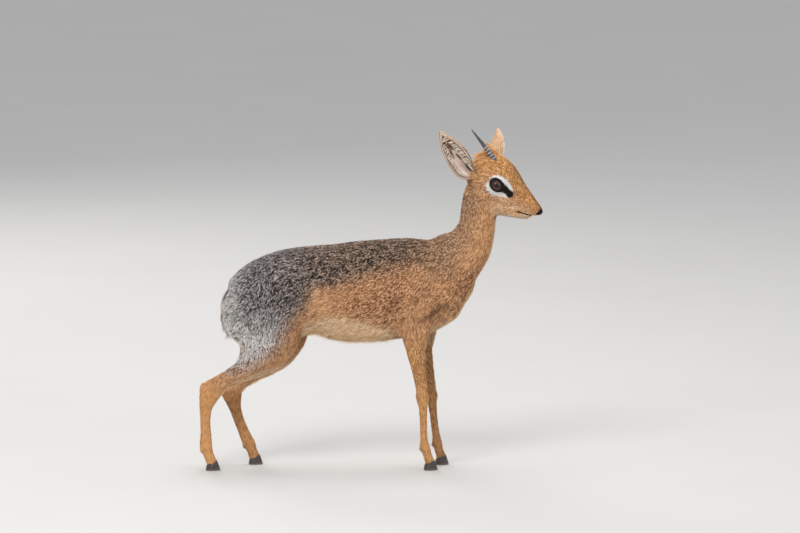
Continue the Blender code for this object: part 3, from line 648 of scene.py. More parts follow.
    def tubes(self) -> list[Tube]:
        """Every tube of flesh, in the frame, with the sense in which its coat lies.

        Returns:
            The tubes, those of the head last.
        """
        trunk = self.profile("trunk", self.trunk, Kind.TRUNK, 60, 44)
        trunk.egg, trunk.square, trunk.flows_back = -0.14, 0.9, True
        skull = self.profile("skull", self.skull, Kind.HEAD, 50, 40)
        skull.egg, skull.square, skull.flows_back = 0.1, 0.92, True
        jaw = self.profile("jaw", self.jaw, Kind.HEAD, 34, 28)
        jaw.square, jaw.flows_back = 0.95, True
        neck = self.middle("neck", self.neck, Kind.NECK)
        neck.flows_back = True
        found = [trunk, neck, self.middle("tail", self.tail, Kind.TAIL)]
        for side in Side:
            found.append(self.limb(f"foreleg_{side.word}", getattr(self, f"foreleg_{side.word}"), Kind.LEG))
            found.append(self.limb(f"haunch_{side.word}", getattr(self, f"haunch_{side.word}"), Kind.HAUNCH))
            found.append(self.limb(f"shank_{side.word}", getattr(self, f"shank_{side.word}"), Kind.LEG))
        for tube in found:
            tube.centres = tube.centres + np.array(self.axes.shift)
        turn = np.array(self.axes.matrix())
        for tube in (skull, jaw):
            tube.centres = tube.centres @ turn[:3, :3].T + turn[:3, 3]
            found.append(tube)
        return found

    def ellipsoid(self, centre: Array, radii: Array, turn: Array, patches: Patches) -> None:
        """Adds an ellipsoid, with its centre in the frame and its radii in millimetres.

        Args:
            centre: Its centre in the frame.
            radii: Its three radii in millimetres.
            turn: The 3 by 3 matrix of its axes.
            patches: Where it is added.
        """
        rows, columns = 14, 24
        polar = np.linspace(0.02, math.pi - 0.02, rows)
        angle = np.arange(columns) * math.tau / columns
        ball = np.stack(
            [
                np.outer(np.sin(polar), np.cos(angle)),
                np.outer(np.sin(polar), np.sin(angle)),
                np.outer(np.cos(polar), np.ones(columns)),
            ],
            2,
        ).reshape(-1, 3)
        points = (ball * np.array(radii) * MM) @ turn.T + centre
        patches.add(points, *(faces[:, ::-1] for faces in tube_faces(rows, columns)))

    def forms(self, tubes: list[Tube]) -> Patches:
        """All the overlapping forms that the skin is melted from.

        Args:
            tubes: The tubes of flesh.

        Returns:
            The gathered forms.
        """
        patches = Patches()
        for tube in tubes:
            tube.add_to(patches)
        turn = np.array(self.axes.matrix())[:3, :3]
        for (s, spread, t), radii in self.head_masses:
            for side in Side:
                centre = self.axes.world([s, side * spread, t])
                self.ellipsoid(centre, radii, turn, patches)
        for x, y, z in self.dewclaws:
            for side in Side:
                centre = np.array([x, y + side * self.dewclaw_spread, z]) * MM
                centre = centre + np.array(self.axes.shift)
                self.ellipsoid(centre, self.dewclaw_radii, np.eye(3), patches)
        return patches


@dataclass(frozen=True)
class Relief:
    """A ridge or a hollow along a path on the skin, made by moving the skin along its normal."""

    path: Array
    radius: float
    height: float

    def lift(self, points: Array) -> Array:
        """How far each point moves out, in metres."""
        far = path_distance(points, self.path)
        return self.height * MM * bell(far, self.radius * MM)


@dataclass(frozen=True)
class BodyReliefs:
    """The muscles, bones, tendons and folds that show through a short coat, in millimetres.

    Each row holds a path, a radius and a height. On a limb the path is of pairs: how far
    along the limb, and degrees round it from its outer side."""

    trunk: tuple = (
        (((112, 30, 388), (128, 36, 345), (138, 36, 305)), 9, 1.6),
        (((104, 40, 352), (84, 48, 318), (66, 50, 285)), 15, 2.2),
        (((52, 52, 330), (46, 52, 290), (44, 46, 252)), 8, -2.0),
        (((142, 34, 305), (139, 30, 290)), 12, 2.4),
        (((122, 34, 270), (104, 44, 254), (84, 48, 250)), 6.5, -2.6),
        (((-104, 36, 372), (-122, 44, 362)), 11, 2.0),
        (((-96, 50, 332), (-90, 50, 300)), 14, -2.2),
        (((-98, 46, 262), (-86, 46, 240)), 5, 1.8),
        (((-84, 48, 262), (-74, 46, 236)), 6, -1.8),
        (((-212, 30, 322), (-226, 22, 305)), 9, 1.2),
        (((150, 20, 380), (172, 18, 420), (180, 20, 462)), 8, 1.2),
        (((168, 24, 400), (190, 20, 440), (205, 16, 470)), 6, -1.0),
    )
    limbs: tuple = (
        ("foreleg", ((0.1, -60), (0.2, -70)), 9, 1.8),
        ("foreleg", ((0.12, 20), (0.3, 10), (0.44, 20)), 7, 1.1),
        ("foreleg", ((0.48, 90), (0.53, 90)), 5, 1.6),
        ("foreleg", ((0.5, -90), (0.53, -90)), 4, 1.5),
        ("foreleg", ((0.5, 0), (0.54, 0)), 4, 0.7),
        ("foreleg", ((0.58, -30), (0.78, -30)), 2.2, -1.0),
        ("foreleg", ((0.58, 210), (0.78, 210)), 2.2, -0.8),
        ("foreleg", ((0.86, 0), (0.87, 20)), 4, 0.6),
        ("haunch", ((0.35, 60), (0.5, 75), (0.6, 80)), 9, 1.6),
        ("haunch", ((0.42, -20), (0.6, -25), (0.72, -20)), 9, 1.4),
        ("haunch", ((0.5, -60), (0.66, -50), (0.8, -42)), 5, -1.5),
        ("haunch", ((0.72, -38), (0.86, -38), (0.97, -36)), 3.2, -2.4),
        ("haunch", ((0.72, 215), (0.86, 215), (0.97, 215)), 3.2, -2.0),
        ("haunch", ((0.7, 30), (0.88, 25)), 4, 0.9),
        ("shank", ((0.06, -92), (0.12, -90)), 4.5, 1.4),
        ("shank", ((0.2, 10), (0.24, 0)), 4.5, 1.0),
        ("shank", ((0.36, -25), (0.66, -25)), 2.4, -1.0),
        ("shank", ((0.36, 205), (0.66, 205)), 2.4, -0.8),
        ("shank", ((0.3, 80), (0.5, 85)), 3, 0.6),
    )
    head: tuple = (
        (((56, 18, 24), (70, 15, 18), (82, 13, 12)), 5, 1.0),
        (((44, 26, -9), (60, 20, -13), (84, 13.5, -12)), 5, 1.1),
        (((66, 17, -20), (46, 22, -26)), 7, -0.9),
        (((30, 22, -30), (52, 18, -34)), 6, 0.9),
        (((88, 13, 8), (110, 11, 4)), 6, -0.7),
        (((78.5, 18, 4.5), (79, 18, 4)), 5.5, 1.3),
        (((120, 10, -8), (131, 7, -5)), 3.2, 0.9),
        (((24, 14, 44), (40, 12, 47)), 7, 0.9),
        (((14, 24, 10), (24, 25, 14)), 6, -0.8),
    )


@dataclass
class Skin:
    """The one skin: melted forms, smoothed, sunk by the coat's depth, and sculpted."""

    flesh: Flesh
    eyes: "EyePlaces"
    reliefs: BodyReliefs
    lips: "Lips"
    voxel: float = 2.1 * MM
    rounds: int = 28
    least_blend: float = 0.06
    more_blend: float = 0.5
    head_kept: float = 0.8
    leg_fade: Pair = (0.17, 0.06)
    head_fade: Pair = (0.43, 0.04)
    head_corner: Pair = (0.15, 0.432)
    eye_middle: Pair = (55, 4)
    eye_reach: float = 27
    eye_out: float = 15
    muzzle_from: float = 102

    def blend(self, points: Array) -> Array:
        """How far a point is smoothed: fully on the trunk, little on the head and legs.

        Args:
            points: Places in the frame.

        Returns:
            One share for each point.
        """
        fades = (self.leg_fade, self.head_fade)
        height, head = (np.clip((points[:, 2] - low) / run, 0, 1) for low, run in fades)
        return self.least_blend + self.more_blend * height * (1 - self.head_kept * head)

    def melt(self, tubes: list[Tube]) -> Object:
        """Melts the forms into one smooth closed mesh, finer on the head.

        Args:
            tubes: The tubes of flesh.

        Returns:
            The skin.
        """
        obj = new_object("skin", self.flesh.forms(tubes).mesh("forms"))
        remesh = obj.modifiers.new("melt", "REMESH")
        remesh.mode = "VOXEL"
        remesh.voxel_size = self.voxel
        graph = bpy.context.evaluated_depsgraph_get()
        mesh = bpy.data.meshes.new_from_object(obj.evaluated_get(graph))
        obj.modifiers.clear()
        obj.data = mesh
        points = vertex_points(mesh)
        set_points(mesh, relax(points, edge_ends(mesh), self.blend(points), self.rounds))
        x, z = self.head_corner
        self.refine(obj, lambda p: (p[:, 2] > z) & (p[:, 0] > x), 6)
        self.refine(obj, self.fine_places, 4)
        return obj

    def fine_places(self, points: Array) -> Array:
        """Which points lie round the eyes, on the muzzle or along the lips.

        Args:
            points: Places in the frame.

        Returns:
            One flag for each point.
        """
        local = self.flesh.axes.local(points)
        s, t = self.eye_middle
        eye = np.hypot(local[:, 0] - s, local[:, 2] - t) < self.eye_reach
        return (eye & (np.abs(local[:, 1]) > self.eye_out)) | (local[:, 0] > self.muzzle_from)

    def refine(self, obj: Object, wanted: Callable[[Array], Array], rounds: int) -> None:
        """Halves the faces of a region and smooths it.

        Args:
            obj: The skin.
            wanted: A function that marks the points of the region.
            rounds: How many rounds it is then smoothed.
        """
        chosen = wanted(vertex_points(obj.data))

        def halve(bm: bmesh.types.BMesh) -> None:
            """Cuts the chosen edges in half.

            Args:
                bm: The editable mesh.
            """
            edges = [e for e in bm.edges if all(chosen[v.index] for v in e.verts)]
            bmesh.ops.subdivide_edges(bm, edges=edges, cuts=1, use_grid_fill=True)
            bmesh.ops.triangulate(bm, faces=[f for f in bm.faces if len(f.verts) > 4])

        reshape(obj, halve)
        points = vertex_points(obj.data)
        share = 0.5 * wanted(points)
        set_points(obj.data, relax(points, edge_ends(obj.data), share, rounds))

    def sculpt(self, obj: Object, tubes: list[Tube], depth: Array) -> BVHTree:
        """Sinks the skin by the coat's depth, then raises muscles and cuts eyes and lips.

        Args:
            obj: The skin.
            tubes: The tubes of flesh, for the limbs' reliefs.
            depth: The coat's depth at each vertex, in metres.

        Returns:
            The skin's surface as it was before the sockets were sunk.
        """
        mesh = obj.data
        points = vertex_points(mesh)
        normals = vertex_normals(mesh)
        points -= normals * depth[:, None]
        moved = np.zeros(len(points))
        for relief in self.all_reliefs(tubes):
            moved += relief.lift(points)
        points += normals * moved[:, None]
        set_points(mesh, points)
        set_points(mesh, self.lips.press(points, vertex_normals(mesh)))
        whole = BVHTree.FromObject(obj, bpy.context.evaluated_depsgraph_get())
        set_points(mesh, self.eyes.press(vertex_points(mesh)))
        return whole

    def all_reliefs(self, tubes: list[Tube]) -> list[Relief]:
        """Every relief in the frame, on both sides of the body.

        Args:
            tubes: The tubes of flesh.

        Returns:
            The reliefs.
        """
        named = {tube.name: tube for tube in tubes}
        shift = np.array(self.flesh.axes.shift)
        found = []
        for side in Side:
            mirror = np.array([1, side, 1])
            for path, radius, height in self.reliefs.trunk:
                found.append(Relief(np.array(path) * mirror * MM + shift, radius, height))
            for path, radius, height in self.reliefs.head:
                found.append(Relief(self.flesh.axes.world(np.array(path) * mirror), radius, height))
            for name, places, radius, height in self.reliefs.limbs:
                limb = named[f"{name}_{side.word}"]
                turned = [(at, angle if side is Side.LEFT else 180 - angle) for at, angle in places]
                path = np.array([limb.point(at, angle) for at, angle in turned])
                found.append(Relief(path, radius, height))
        return found


@dataclass(frozen=True)
class Lips:
    """The line of the mouth and the two nostrils, in the head's axes, in millimetres."""

    axes: HeadAxes
    corner: Pair = (105.5, -14.0)
    front: Pair = (135.5, -4.2)
    sag: float = -0.4
    steps: int = 14
    widths: Rows = ((100, 11), (118, 9), (130, 7), (138, 4))
    groove: float = 0.95
    depth: float = 2.1
    nostril: Rows = ((136.2, 8.4, 0.8), (137.2, 8.2, 3.8), (137.8, 7.4, 7.0), (138.2, 6.2, 10.2))
    nostril_radius: float = 1.6
    nostril_depth: float = 2.8
    side_weight: float = 0.3

    def line(self) -> Array:
        """The mouth's line from the right corner round the front to the left.

        Returns:
            Places in the head's axes, in millimetres.
        """
        run = np.arange(-self.steps, self.steps + 1) / self.steps
        bend = np.sin((1 - np.abs(run)) * math.pi / 2)
        s = self.corner[0] + (self.front[0] - self.corner[0]) * bend
        t = self.corner[1] + (self.front[1] - self.corner[1]) * bend
        t = t + self.sag * np.sin((1 - np.abs(run)) * math.pi)
        table = np.array(self.widths)
        wide = np.interp(s, table[:, 0], table[:, 1])
        y = np.sign(run) * wide * np.cos((1 - np.abs(run)) * math.pi / 2) ** 0.5
        return np.stack([s, y, t], 1)

    def distances(self, points: Array) -> tuple[Array, Array]:
        """How far points lie from the mouth's line and the nostrils, in millimetres.

        Args:
            points: Places in the frame.

        Returns:
            The distances to the mouth, and those to the nearer nostril.
        """
        local = self.axes.local(points)
        flatten = np.array([1, self.side_weight, 1])
        mouth = path_distance(local * flatten, self.line() * flatten)
        nose = np.full(len(points), 99.0)
        for side in Side:
            slit = np.array(self.nostril) * [1, side, 1]
            far = path_distance(local * flatten, slit * flatten)
            nose = np.minimum(nose, np.where(local[:, 1] * side > 1.0, far, 99.0))
        return mouth, nose

    def press(self, points: Array, normals: Array) -> Array:
        """Presses the mouth's groove and the nostrils into the skin, with rolled edges.

        Args:
            points: Places in the frame.
            normals: The skin's normals there.

        Returns:
            The points where they lie then.
        """
        mouth, nose = self.distances(points)
        sunk = self.depth * bell(mouth, self.groove)
        sunk -= 0.55 * bell(mouth - 2.2, 1.1)
        sunk += self.nostril_depth * bell(nose, self.nostril_radius)
        sunk -= 0.5 * bell(nose - 2.6, 1.0)
        return points - normals * (sunk * MM)[:, None]


@dataclass(frozen=True)
class EyePlaces:
    """Where the eyes and their openings lie, in the head's axes, in millimetres."""

    axes: HeadAxes
    place: Triple = (51, 22, 4.4)
    radius: float = 10.5
    half_long: float = 9.2
    half_high: float = 7.6
    slant: float = math.radians(-12)
    socket_edge: float = 1.2
    lid_edge: float = 1.36
    skin_edge: float = 1.7
    socket_depth: float = 2.4
    lid_sunk: float = 1.6
    below: float = 0.32

    def centre(self, side: Side) -> Array:
        """The centre of an eyeball in the head's axes."""
        s, y, t = self.place
        return np.array([s, side * y, t])

    def opening(self, local: Array) -> Array:
        """How far points lie from the middle of the eye's opening, 1 being its edge.

        Args:
            local: Places in the head's axes, in millimetres.

        Returns:
            One number for each point.
        """
        ds, dt = local[:, 0] - self.place[0], local[:, 2] - self.place[2]
        c, s = math.cos(self.slant), math.sin(self.slant)
        along, up = ds * c + dt * s, dt * c - ds * s
        near = np.hypot(along / self.half_long, up / self.half_high)
        low = np.clip(-up / self.half_high / np.maximum(near, 1e-6), 0, 1)
        return np.where(near > 1, 1 + (near - 1) / (1 - self.below * low), near)

    def ray(self, angle: Array, reach: Array) -> Array:
        """The offset (s, t) of a place on the opening's plan.

        Args:
            angle: The angle round the opening, 0 towards the nose.
            reach: How far out, 1 being the opening's edge.

        Returns:
            Pairs of millimetres from the eye's centre.
        """
        narrow = 1 - self.below * np.clip(-np.sin(angle), 0, 1)
        reach = np.where(reach > 1, 1 + (reach - 1) * narrow, reach)
        along = self.half_long * reach * np.cos(angle)
        up = self.half_high * reach * np.sin(angle)
        c, s = math.cos(self.slant), math.sin(self.slant)
        return np.stack([along * c - up * s, along * s + up * c], -1)

    def press(self, points: Array) -> Array:
        """Sinks the skin behind each eyeball and under the ring of its lids.

        Args:
            points: Places in the frame.

        Returns:
            The points where they lie then.
        """
        local = self.axes.local(points)
        for side in Side:
            on_side = local[:, 1] * side > 10
            near = self.opening(local)
            centre = self.centre(side)
            ray = local - centre
            far = np.linalg.norm(ray, axis=1)
            floor = self.radius - self.socket_depth
            inner = on_side & (near < self.socket_edge) & (far > floor)
            pulled = centre + ray * (floor / np.maximum(far, 1e-6))[:, None]
            local[inner] = pulled[inner]
            ring = on_side & (near >= self.socket_edge) & (near < self.skin_edge)
            drop = self.lid_sunk * (1 - ramp(near, self.lid_edge, self.skin_edge))
            local[ring, 1] -= side * drop[ring]
        return self.axes.world(local)


@dataclass
class CoatPlan:
    """How the coat varies: its depth, and each tuft's length, width, closeness and lift."""

    axes: HeadAxes
    eye: Pair = (50.6, 4.7)
    rim: Pair = (13.2, 11.3)
    short: float = 0.42
    scales: dict[str, float] = field(
        default_factory=lambda: {
            "depth": MM, "length": MM, "width": MM, "close": 1, "stray": 1, "lock": 1
        }
    )

    def rows(self, points: Array) -> dict[Kind, tuple]:
        """The plan of each region at each point.

        Args:
            points: Places in the frame.

        Returns:
            For each region: depth, length and width in millimetres, tufts for each square
            millimetre, how far the tufts stray in radians, and the locks' spacing.
        """
        s, _, t = self.axes.local(points).T
        round_eye = np.hypot((s - self.eye[0]) / self.rim[0], (t - self.eye[1]) / self.rim[1])
        grow = self.short + (1 - self.short) * ramp(round_eye, 1.1, 1.75)
        z = points[:, 2] / MM
        x = points[:, 0] / MM
        belly = ramp(z, 262, 232) * ramp(x, -120, -90) * ramp(x, 70, 30)
        along = (0, 40, 90, 115, 128, 142)
        high = (10, 60, 130, 190, 250)
        return {
            Kind.HEAD: (
                np.interp(s, along, (1.7, 1.2, 0.8, 0.6, 0.45, 0.35)),
                grow * np.interp(s, along, (7.5, 5.6, 4.0, 2.8, 2.0, 1.5)),
                np.interp(s, along, (0.42, 0.36, 0.3, 0.26, 0.22, 0.2)),
                np.interp(s, along, (2.0, 2.4, 3.2, 4.2, 5.5, 6.0)),
                0.2,
                np.interp(s, along, (2.0, 1.9, 1.8, 1.7, 1.4, 1.2)),
            ),
            Kind.NECK: (2.2, 6.4, 0.44, 1.8, 0.24, 1.5),
            Kind.TRUNK: (
                2.8 + 1.4 * belly,
                7 + 11 * belly,
                0.52,
                1.36 - 0.1 * belly,
                0.26 + 0.1 * belly,
                1.6 + 1.8 * belly,
            ),
            Kind.HAUNCH: (2.7, 7, 0.52, 1.36, 0.28, 1.6),
            Kind.LEG: (
                np.interp(z, high, (0.8, 0.9, 1.1, 1.7, 2.5)),
                np.interp(z, high, (4.0, 4.2, 5.0, 7.0, 9.5)),
                np.interp(z, high, (0.34, 0.34, 0.38, 0.44, 0.52)),
                np.interp(z, high, (2.6, 2.6, 2.2, 1.7, 1.3)),
                0.16,
                np.interp(z, high, (1.3, 1.3, 1.5, 1.7, 1.8)),
            ),
            Kind.TAIL: (2.6, 15, 0.5, 2.6, 0.34, 2.6),
        }

    def at(self, points: Array, weights: Array) -> dict[str, Array]:
        """The plan at each point, mixed by how far it belongs to each region.

        Args:
            points: Places in the frame.
            weights: How far each place belongs to each region.

        Returns:
            The mixed values by name.
        """
        rows = self.rows(points)
        found = {}
        for k, (name, scale) in enumerate(self.scales.items()):
            found[name] = sum(weights[:, kind] * (rows[kind][k] * scale) for kind in Kind)
        return found


@dataclass
class Guides:
    """The lie of the coat: each tube of flesh leads the hair along its own path."""

    tubes: list[Tube]
    reach: float = 0.05
    sharpness: float = 4.0

    def __post_init__(self) -> None:
        """Gathers the tubes' steps into arrays."""
        rows = []
        for number, item in enumerate(self.tubes):
            lead, side, depth = item.axes()
            run = np.r_[0, np.cumsum(np.linalg.norm(np.diff(item.centres, axis=0), axis=1))]
            lead = lead * (-1 if item.flows_back else 1)
            radius = np.maximum(item.wide, 0.4 * item.deep)
            kind, tube = np.full(len(run), item.kind), np.full(len(run), number)
            values = (item.centres, lead, side, depth, radius, run, kind, tube)
            rows.append([value[1:-1:2] for value in values])
        joined = [np.concatenate(values) for values in zip(*rows)]
        self.place, self.lead, self.side, self.depth = joined[:4]
        self.radius, self.along, self.kind, self.tube = joined[4:]

    def read(self, points: Array) -> tuple[Array, Array, Array]:
        """How the guides act on points.

        Args:
            points: Places in the frame.

        Returns:
            The share of each region, the lead of the hair, and the nearest guide.
        """
        shares = np.zeros((len(points), len(Kind)))
        leads = np.zeros((len(points), 3))
        nearest = np.zeros(len(points), int)
        member = (self.kind[:, None] == np.arange(len(Kind))[None]).astype(float)
        for start in range(0, len(points), 8000):
            part = slice(start, start + 8000)
            far = np.linalg.norm(points[part, None] - self.place[None], axis=2) / self.radius
            weight = 1 / (far**2 + self.reach) ** self.sharpness
            weight /= weight.sum(1, keepdims=True)
            shares[part] = weight @ member
            leads[part] = weight @ self.lead
            nearest[part] = far.argmin(1)
        return shares, leads, nearest

    def unwrap(self, points: Array, nearest: Array) -> tuple[Array, Array, Array]:
        """Places points on their tube's own unrolled surface.

        Args:
            points: Places in the frame.
            nearest: The nearest guide of each.

        Returns:
            The tube's number, the length along it, and the angle round it.
        """
        ray = points - self.place[nearest]
        across = np.einsum("ij,ij->i", ray, self.side[nearest])
        down = np.einsum("ij,ij->i", ray, self.depth[nearest])
        lead = self.lead[nearest]
        run = self.along[nearest] + np.einsum("ij,ij->i", ray, lead)
        return self.tube[nearest], run, np.arctan2(-down, across)


@dataclass
class Spots:
    """Points on the skin with all that the markings read there: x, y and z in millimetres,
    s and t in the head's axes, the share of each region, and some irregular fields."""

    points: Array
    normals: Array
    shares: Array
    axes: HeadAxes

    def __post_init__(self) -> None:
        """Works out the places in millimetres and names the shares."""
        points = self.points
        self.x, y, self.z = (points / MM - np.array(self.axes.shift) / MM).T
        self.out, self.inward = np.abs(y), -self.normals[:, 1] * np.sign(y)
        self.local = self.axes.local(points)
        self.s, across, self.t = self.local.T
        self.across = np.abs(across)
        self.head, self.neck, self.torso, self.haunch, self.leg, self.tail = self.shares.T
        self.wander = ripple(points, 0.031) * 3 + ripple(points, 0.011) * 2
        self.blots = ripple(points, 0.012)
        self.drawn = ripple(self.local * [0.25, 1, 1] * MM, 0.0045)
        self.fall = ripple(points * [1, 1, 0.3], 0.0045)

    def near(self, path: Rows) -> Array:
        """How far the points lie from a path of (x, z) on the side, in millimetres."""
        return path_distance(np.stack([self.x, self.z], 1), np.array(path, float))


@dataclass(frozen=True)
class Markings:
    """Where the coat's colours lie, as masks. Outlines are in millimetres: (x, z) on the
    body's sides, and (s, t) in the head's axes."""

    axes: HeadAxes
    eyes: EyePlaces
    lips: Lips
    flesh: Flesh
    grizzle: Rows = (
        (160, 516), (177, 497), (183, 461), (184, 447), (173, 422), (164, 392), (150, 366), (138, 350),
        (127, 340), (112, 345), (91, 353), (66, 354), (41, 349), (15, 344), (-10, 337), (-36, 327),
        (-58, 320), (-92, 317), (-101, 300), (-108, 282), (-126, 264), (-140, 246), (-158, 222),
        (-182, 200), (-206, 186), (-234, 176), (-236, 186), (-222, 200), (-218, 212), (-300, 230),
        (-300, 460), (80, 480),
    )
    belly: Rows = (
        (-112, 232), (-92, 258), (-70, 268), (-36, 264), (0, 257), (26, 246), (44, 236), (50, 195),
        (-112, 195),
    )
    eye_white: Rows = (
        (35.5, 2), (36, 11), (41, 17.8), (49.5, 21), (61, 21), (71, 18.6), (78, 15), (83, 11),
        (85.5, 5), (83.5, -1), (79, -4.8), (73, -6.5), (66, -9), (58, -11.5), (48, -12.5), (41, -9.5),
        (37, -5),
    )
    # fold runs along the groove between the foreleg and the chest, pit along the hollow behind the elbow:
    # both are paths of painted shade in the brown mask.
    fold: Rows = ((86, 262), (104, 271), (130, 286))
    pit: Rows = ((32, 280), (42, 290), (52, 299))
    crease: Rows = ((-92, 302), (-78, 282), (-62, 262))
    gland: Pair = (79.8, 4.2)
    dark_band: Rows = ((56, 0, 6.2), (76, 0, 5.6))
    behind_ear: Pair = (12, -12)
    rust: Pair = (91, 12)

    def hind_shift(self, points: Array) -> Array:
        """How far the left hind leg stands ahead of the right one, for points on the left.

        Args:
            points: Places in the frame.

        Returns:
            Millimetres along X.
        """
        right = np.array(self.flesh.haunch_right + self.flesh.shank_right[3:])
        left = np.array(self.flesh.haunch_left + self.flesh.shank_left[3:])
        z = points[:, 2] / MM
        gap = np.interp(z, left[::-1, 2], left[::-1, 0]) - np.interp(z, right[::-1, 2], right[::-1, 0])
        hind = ramp(points[:, 0] / MM, -60, -100) * ramp(z, 300, 240)
        return gap * hind * (points[:, 1] > 0)

    def read(self, points: Array, normals: Array, shares: Array) -> tuple[Array, Array]:
        """The masks at each point.

        Args:
            points: Places in the frame.
            normals: The skin's normals there.
            shares: How far each place belongs to each region.

        Returns:
            Two arrays of four masks: grizzled, cool, pale and white; then bright, brown (with painted shade
                by the elbow and on the legs' inner sides),
            black and how strongly the coat is speckled.
        """
        at = Spots(points, normals, shares, self.axes)
        flat = np.stack([at.x - self.hind_shift(points), at.z], 1)
        grizzle = self.grizzled(at, flat)
        cool = ramp(at.x, -30, -190)
        frost = ramp(at.x, -110, -180) * ramp(at.z, 300, 215)
        rim = ramp(at.x, -195, -238)
        white = np.maximum(self.white(at), grizzle * (0.9 * frost + 0.5 * rim * (1 - frost)))
        first = np.stack([grizzle, cool, self.pale(at, flat), white], 1)
        last = [self.bright(at), self.brown(at, flat), self.black(at), self.speckle(at, grizzle)]
        return np.clip(first, 0, 1), np.clip(np.stack(last, 1), 0, 1)

    def grizzled(self, at: Spots, flat: Array) -> Array:
        """The grey back and flanks.

        Args:
            at: The points.
            flat: Their (x, z), with the left hind leg moved onto the right one.

        Returns:
            How grizzled each place is.
        """
        inside = edge_distance(flat, self.grizzle) + at.wander
        soft = np.interp(at.x, (-240, -150, -100, -60, 40, 130), (22, 24, 17, 14, 22, 28))
        found = ramp(inside / soft, -1, 1)
        found *= (1 - ramp(at.head, 0.3, 0.95)) * (1 - 0.4 * at.neck)
        return np.maximum(found, ramp(at.tail, 0.1, 0.6))

    def bright(self, at: Spots) -> Array:
        """The bright tan of the brow, the top of the nose, the neck's front and the legs.

        Args:
            at: The points.

        Returns:
            How bright each place is.
        """
        brow = at.head * ramp(at.s, 72, 40) * ramp(at.t, 6, 26)
        brow = np.maximum(brow, 0.45 * at.head * ramp(at.s, 60, 20)) * ramp(at.s, -16, 14)
        top = np.interp(at.s, (60, 90, 115, 135), (20, 12, 8, 6))
        nose = 0.9 * at.head * ramp(at.t, top - 4, top + 5)
        neck = 0.35 * (at.neck * ramp(at.x, 160, 200))
        legs = 0.6 * at.leg * ramp(at.z + 3 * at.wander, 250, 185)
        return np.maximum.reduce([brow, nose, neck, legs]) + 0.25 * at.head * at.blots

    def speckle(self, at: Spots, grizzle: Array) -> Array:
        """How strongly light and dark hairs differ: less on the legs, head and neck.

        Args:
            at: The points.
            grizzle: How grizzled each is.

        Returns:
            One strength for each point.
        """
        found = 1 - 0.4 * (at.leg * ramp(at.z, 170, 120)) - 0.4 * at.leg
        found -= at.head * np.interp(at.s, (40, 62, 90, 115), (0.4, 0.3, 0.42, 0.42)) + 0.45 * at.neck
        found -= 0.35 * (1 - grizzle) * (1 - at.head) * ramp(at.x, -10, -80)
        return found * (1 - 0.2 * at.haunch * (1 - grizzle))

    def pale(self, at: Spots, flat: Array) -> Array:
        """The creamy underside: belly, brisket, throat, inner legs and under the tail.

        Args:
            at: The points.
            flat: Their (x, z), with the left hind leg moved onto the right one.

        Returns:
            How pale each place is.
        """
        x, z, s, points, normals = at.x, at.z, at.s, at.points, at.normals
        trunk = at.torso + at.haunch
        wisps = ripple(points * [0.45, 1, 1], 0.012) * 5 + ripple(points, 0.005) * 3
        belly = ramp(edge_distance(flat, self.belly) + at.wander + wisps, -6, 6)
        belly *= ramp(trunk, 0.2, 0.6)
        strands = ramp(ripple(points * [1.2, 1, 0.3], 0.006), 0.1, 0.9)
        belly = np.maximum(belly, 0.6 * strands * bell(at.near(self.crease), 13))
        under = ramp(-normals[:, 2], 0.35, 0.8) * trunk * ramp(z, 300, 262)
        brisket = ramp(at.out, 17, 8) * ramp(x, 90, 120)
        brisket *= ramp(z, 350, 300) * ramp(normals[:, 0] - normals[:, 2], 0.3, 0.9)
        throat = ramp(at.out, 13, 5) * ramp(normals[:, 0], 0.5, 0.9)
        throat *= at.neck * 0.8
        legs = (at.leg + at.haunch) * ramp(at.inward, 0.1, 0.6)
        legs *= np.interp(z, (150, 200, 230, 262), (0, 0.05, 0.4, 0.9))
        rump = ramp(at.out, 22, 12) * ramp(x, -205, -228)
        rump *= ramp(z, 300, 270)
        cheek = at.head * (0.5 + 0.35 * at.blots)
        cheek *= ramp(s, 45, 78) * ramp(at.t, np.interp(s, (60, 100, 130), (-6, 4, 6)), -10)
        found = np.maximum.reduce([belly, under, brisket, throat, legs, cheek])
        outside = ramp(-normals[:, 0] * 1.2 - np.abs(normals[:, 1]), -1.0, -0.5)
        rump = rump * (1 - at.tail) + 0.7 * at.tail * (1 - outside)
        on_head = 0.34 * at.head * ramp(-at.drawn, 0.15, 0.9) * ramp(s, 116, 70)
        on_neck = 0.3 * at.neck * ramp(-at.fall, 0.15, 0.9)
        return np.maximum.reduce([found * (1 - at.tail), rump, on_head, on_neck])

    def white(self, at: Spots) -> Array:
        """The white round the eyes, and the whitish chin and lips.

        Args:
            at: The points.

        Returns:
            How white each place is.
        """
        s, t = at.s, at.t
        ring = ramp(edge_distance(at.local[:, [0, 2]], self.eye_white), -1.2, 1.2)
        ring *= (at.across > 9) * ramp(at.head, 0.3, 0.6)
        jaw = np.array(self.flesh.jaw)
        bottom = np.interp(s, jaw[:, 0], jaw[:, 2])
        chin = ramp(t - bottom, 7, 2.5) * ramp(s, 66, 104)
        line = self.lips.line()[: self.lips.steps + 1]
        lower = ramp(np.interp(s, line[:, 0], line[:, 2]) - t, 0.2, 1.4) * ramp(s, 100, 116) * 0.4
        return np.maximum.reduce([ring, 0.4 * chin * at.head, lower * at.head])

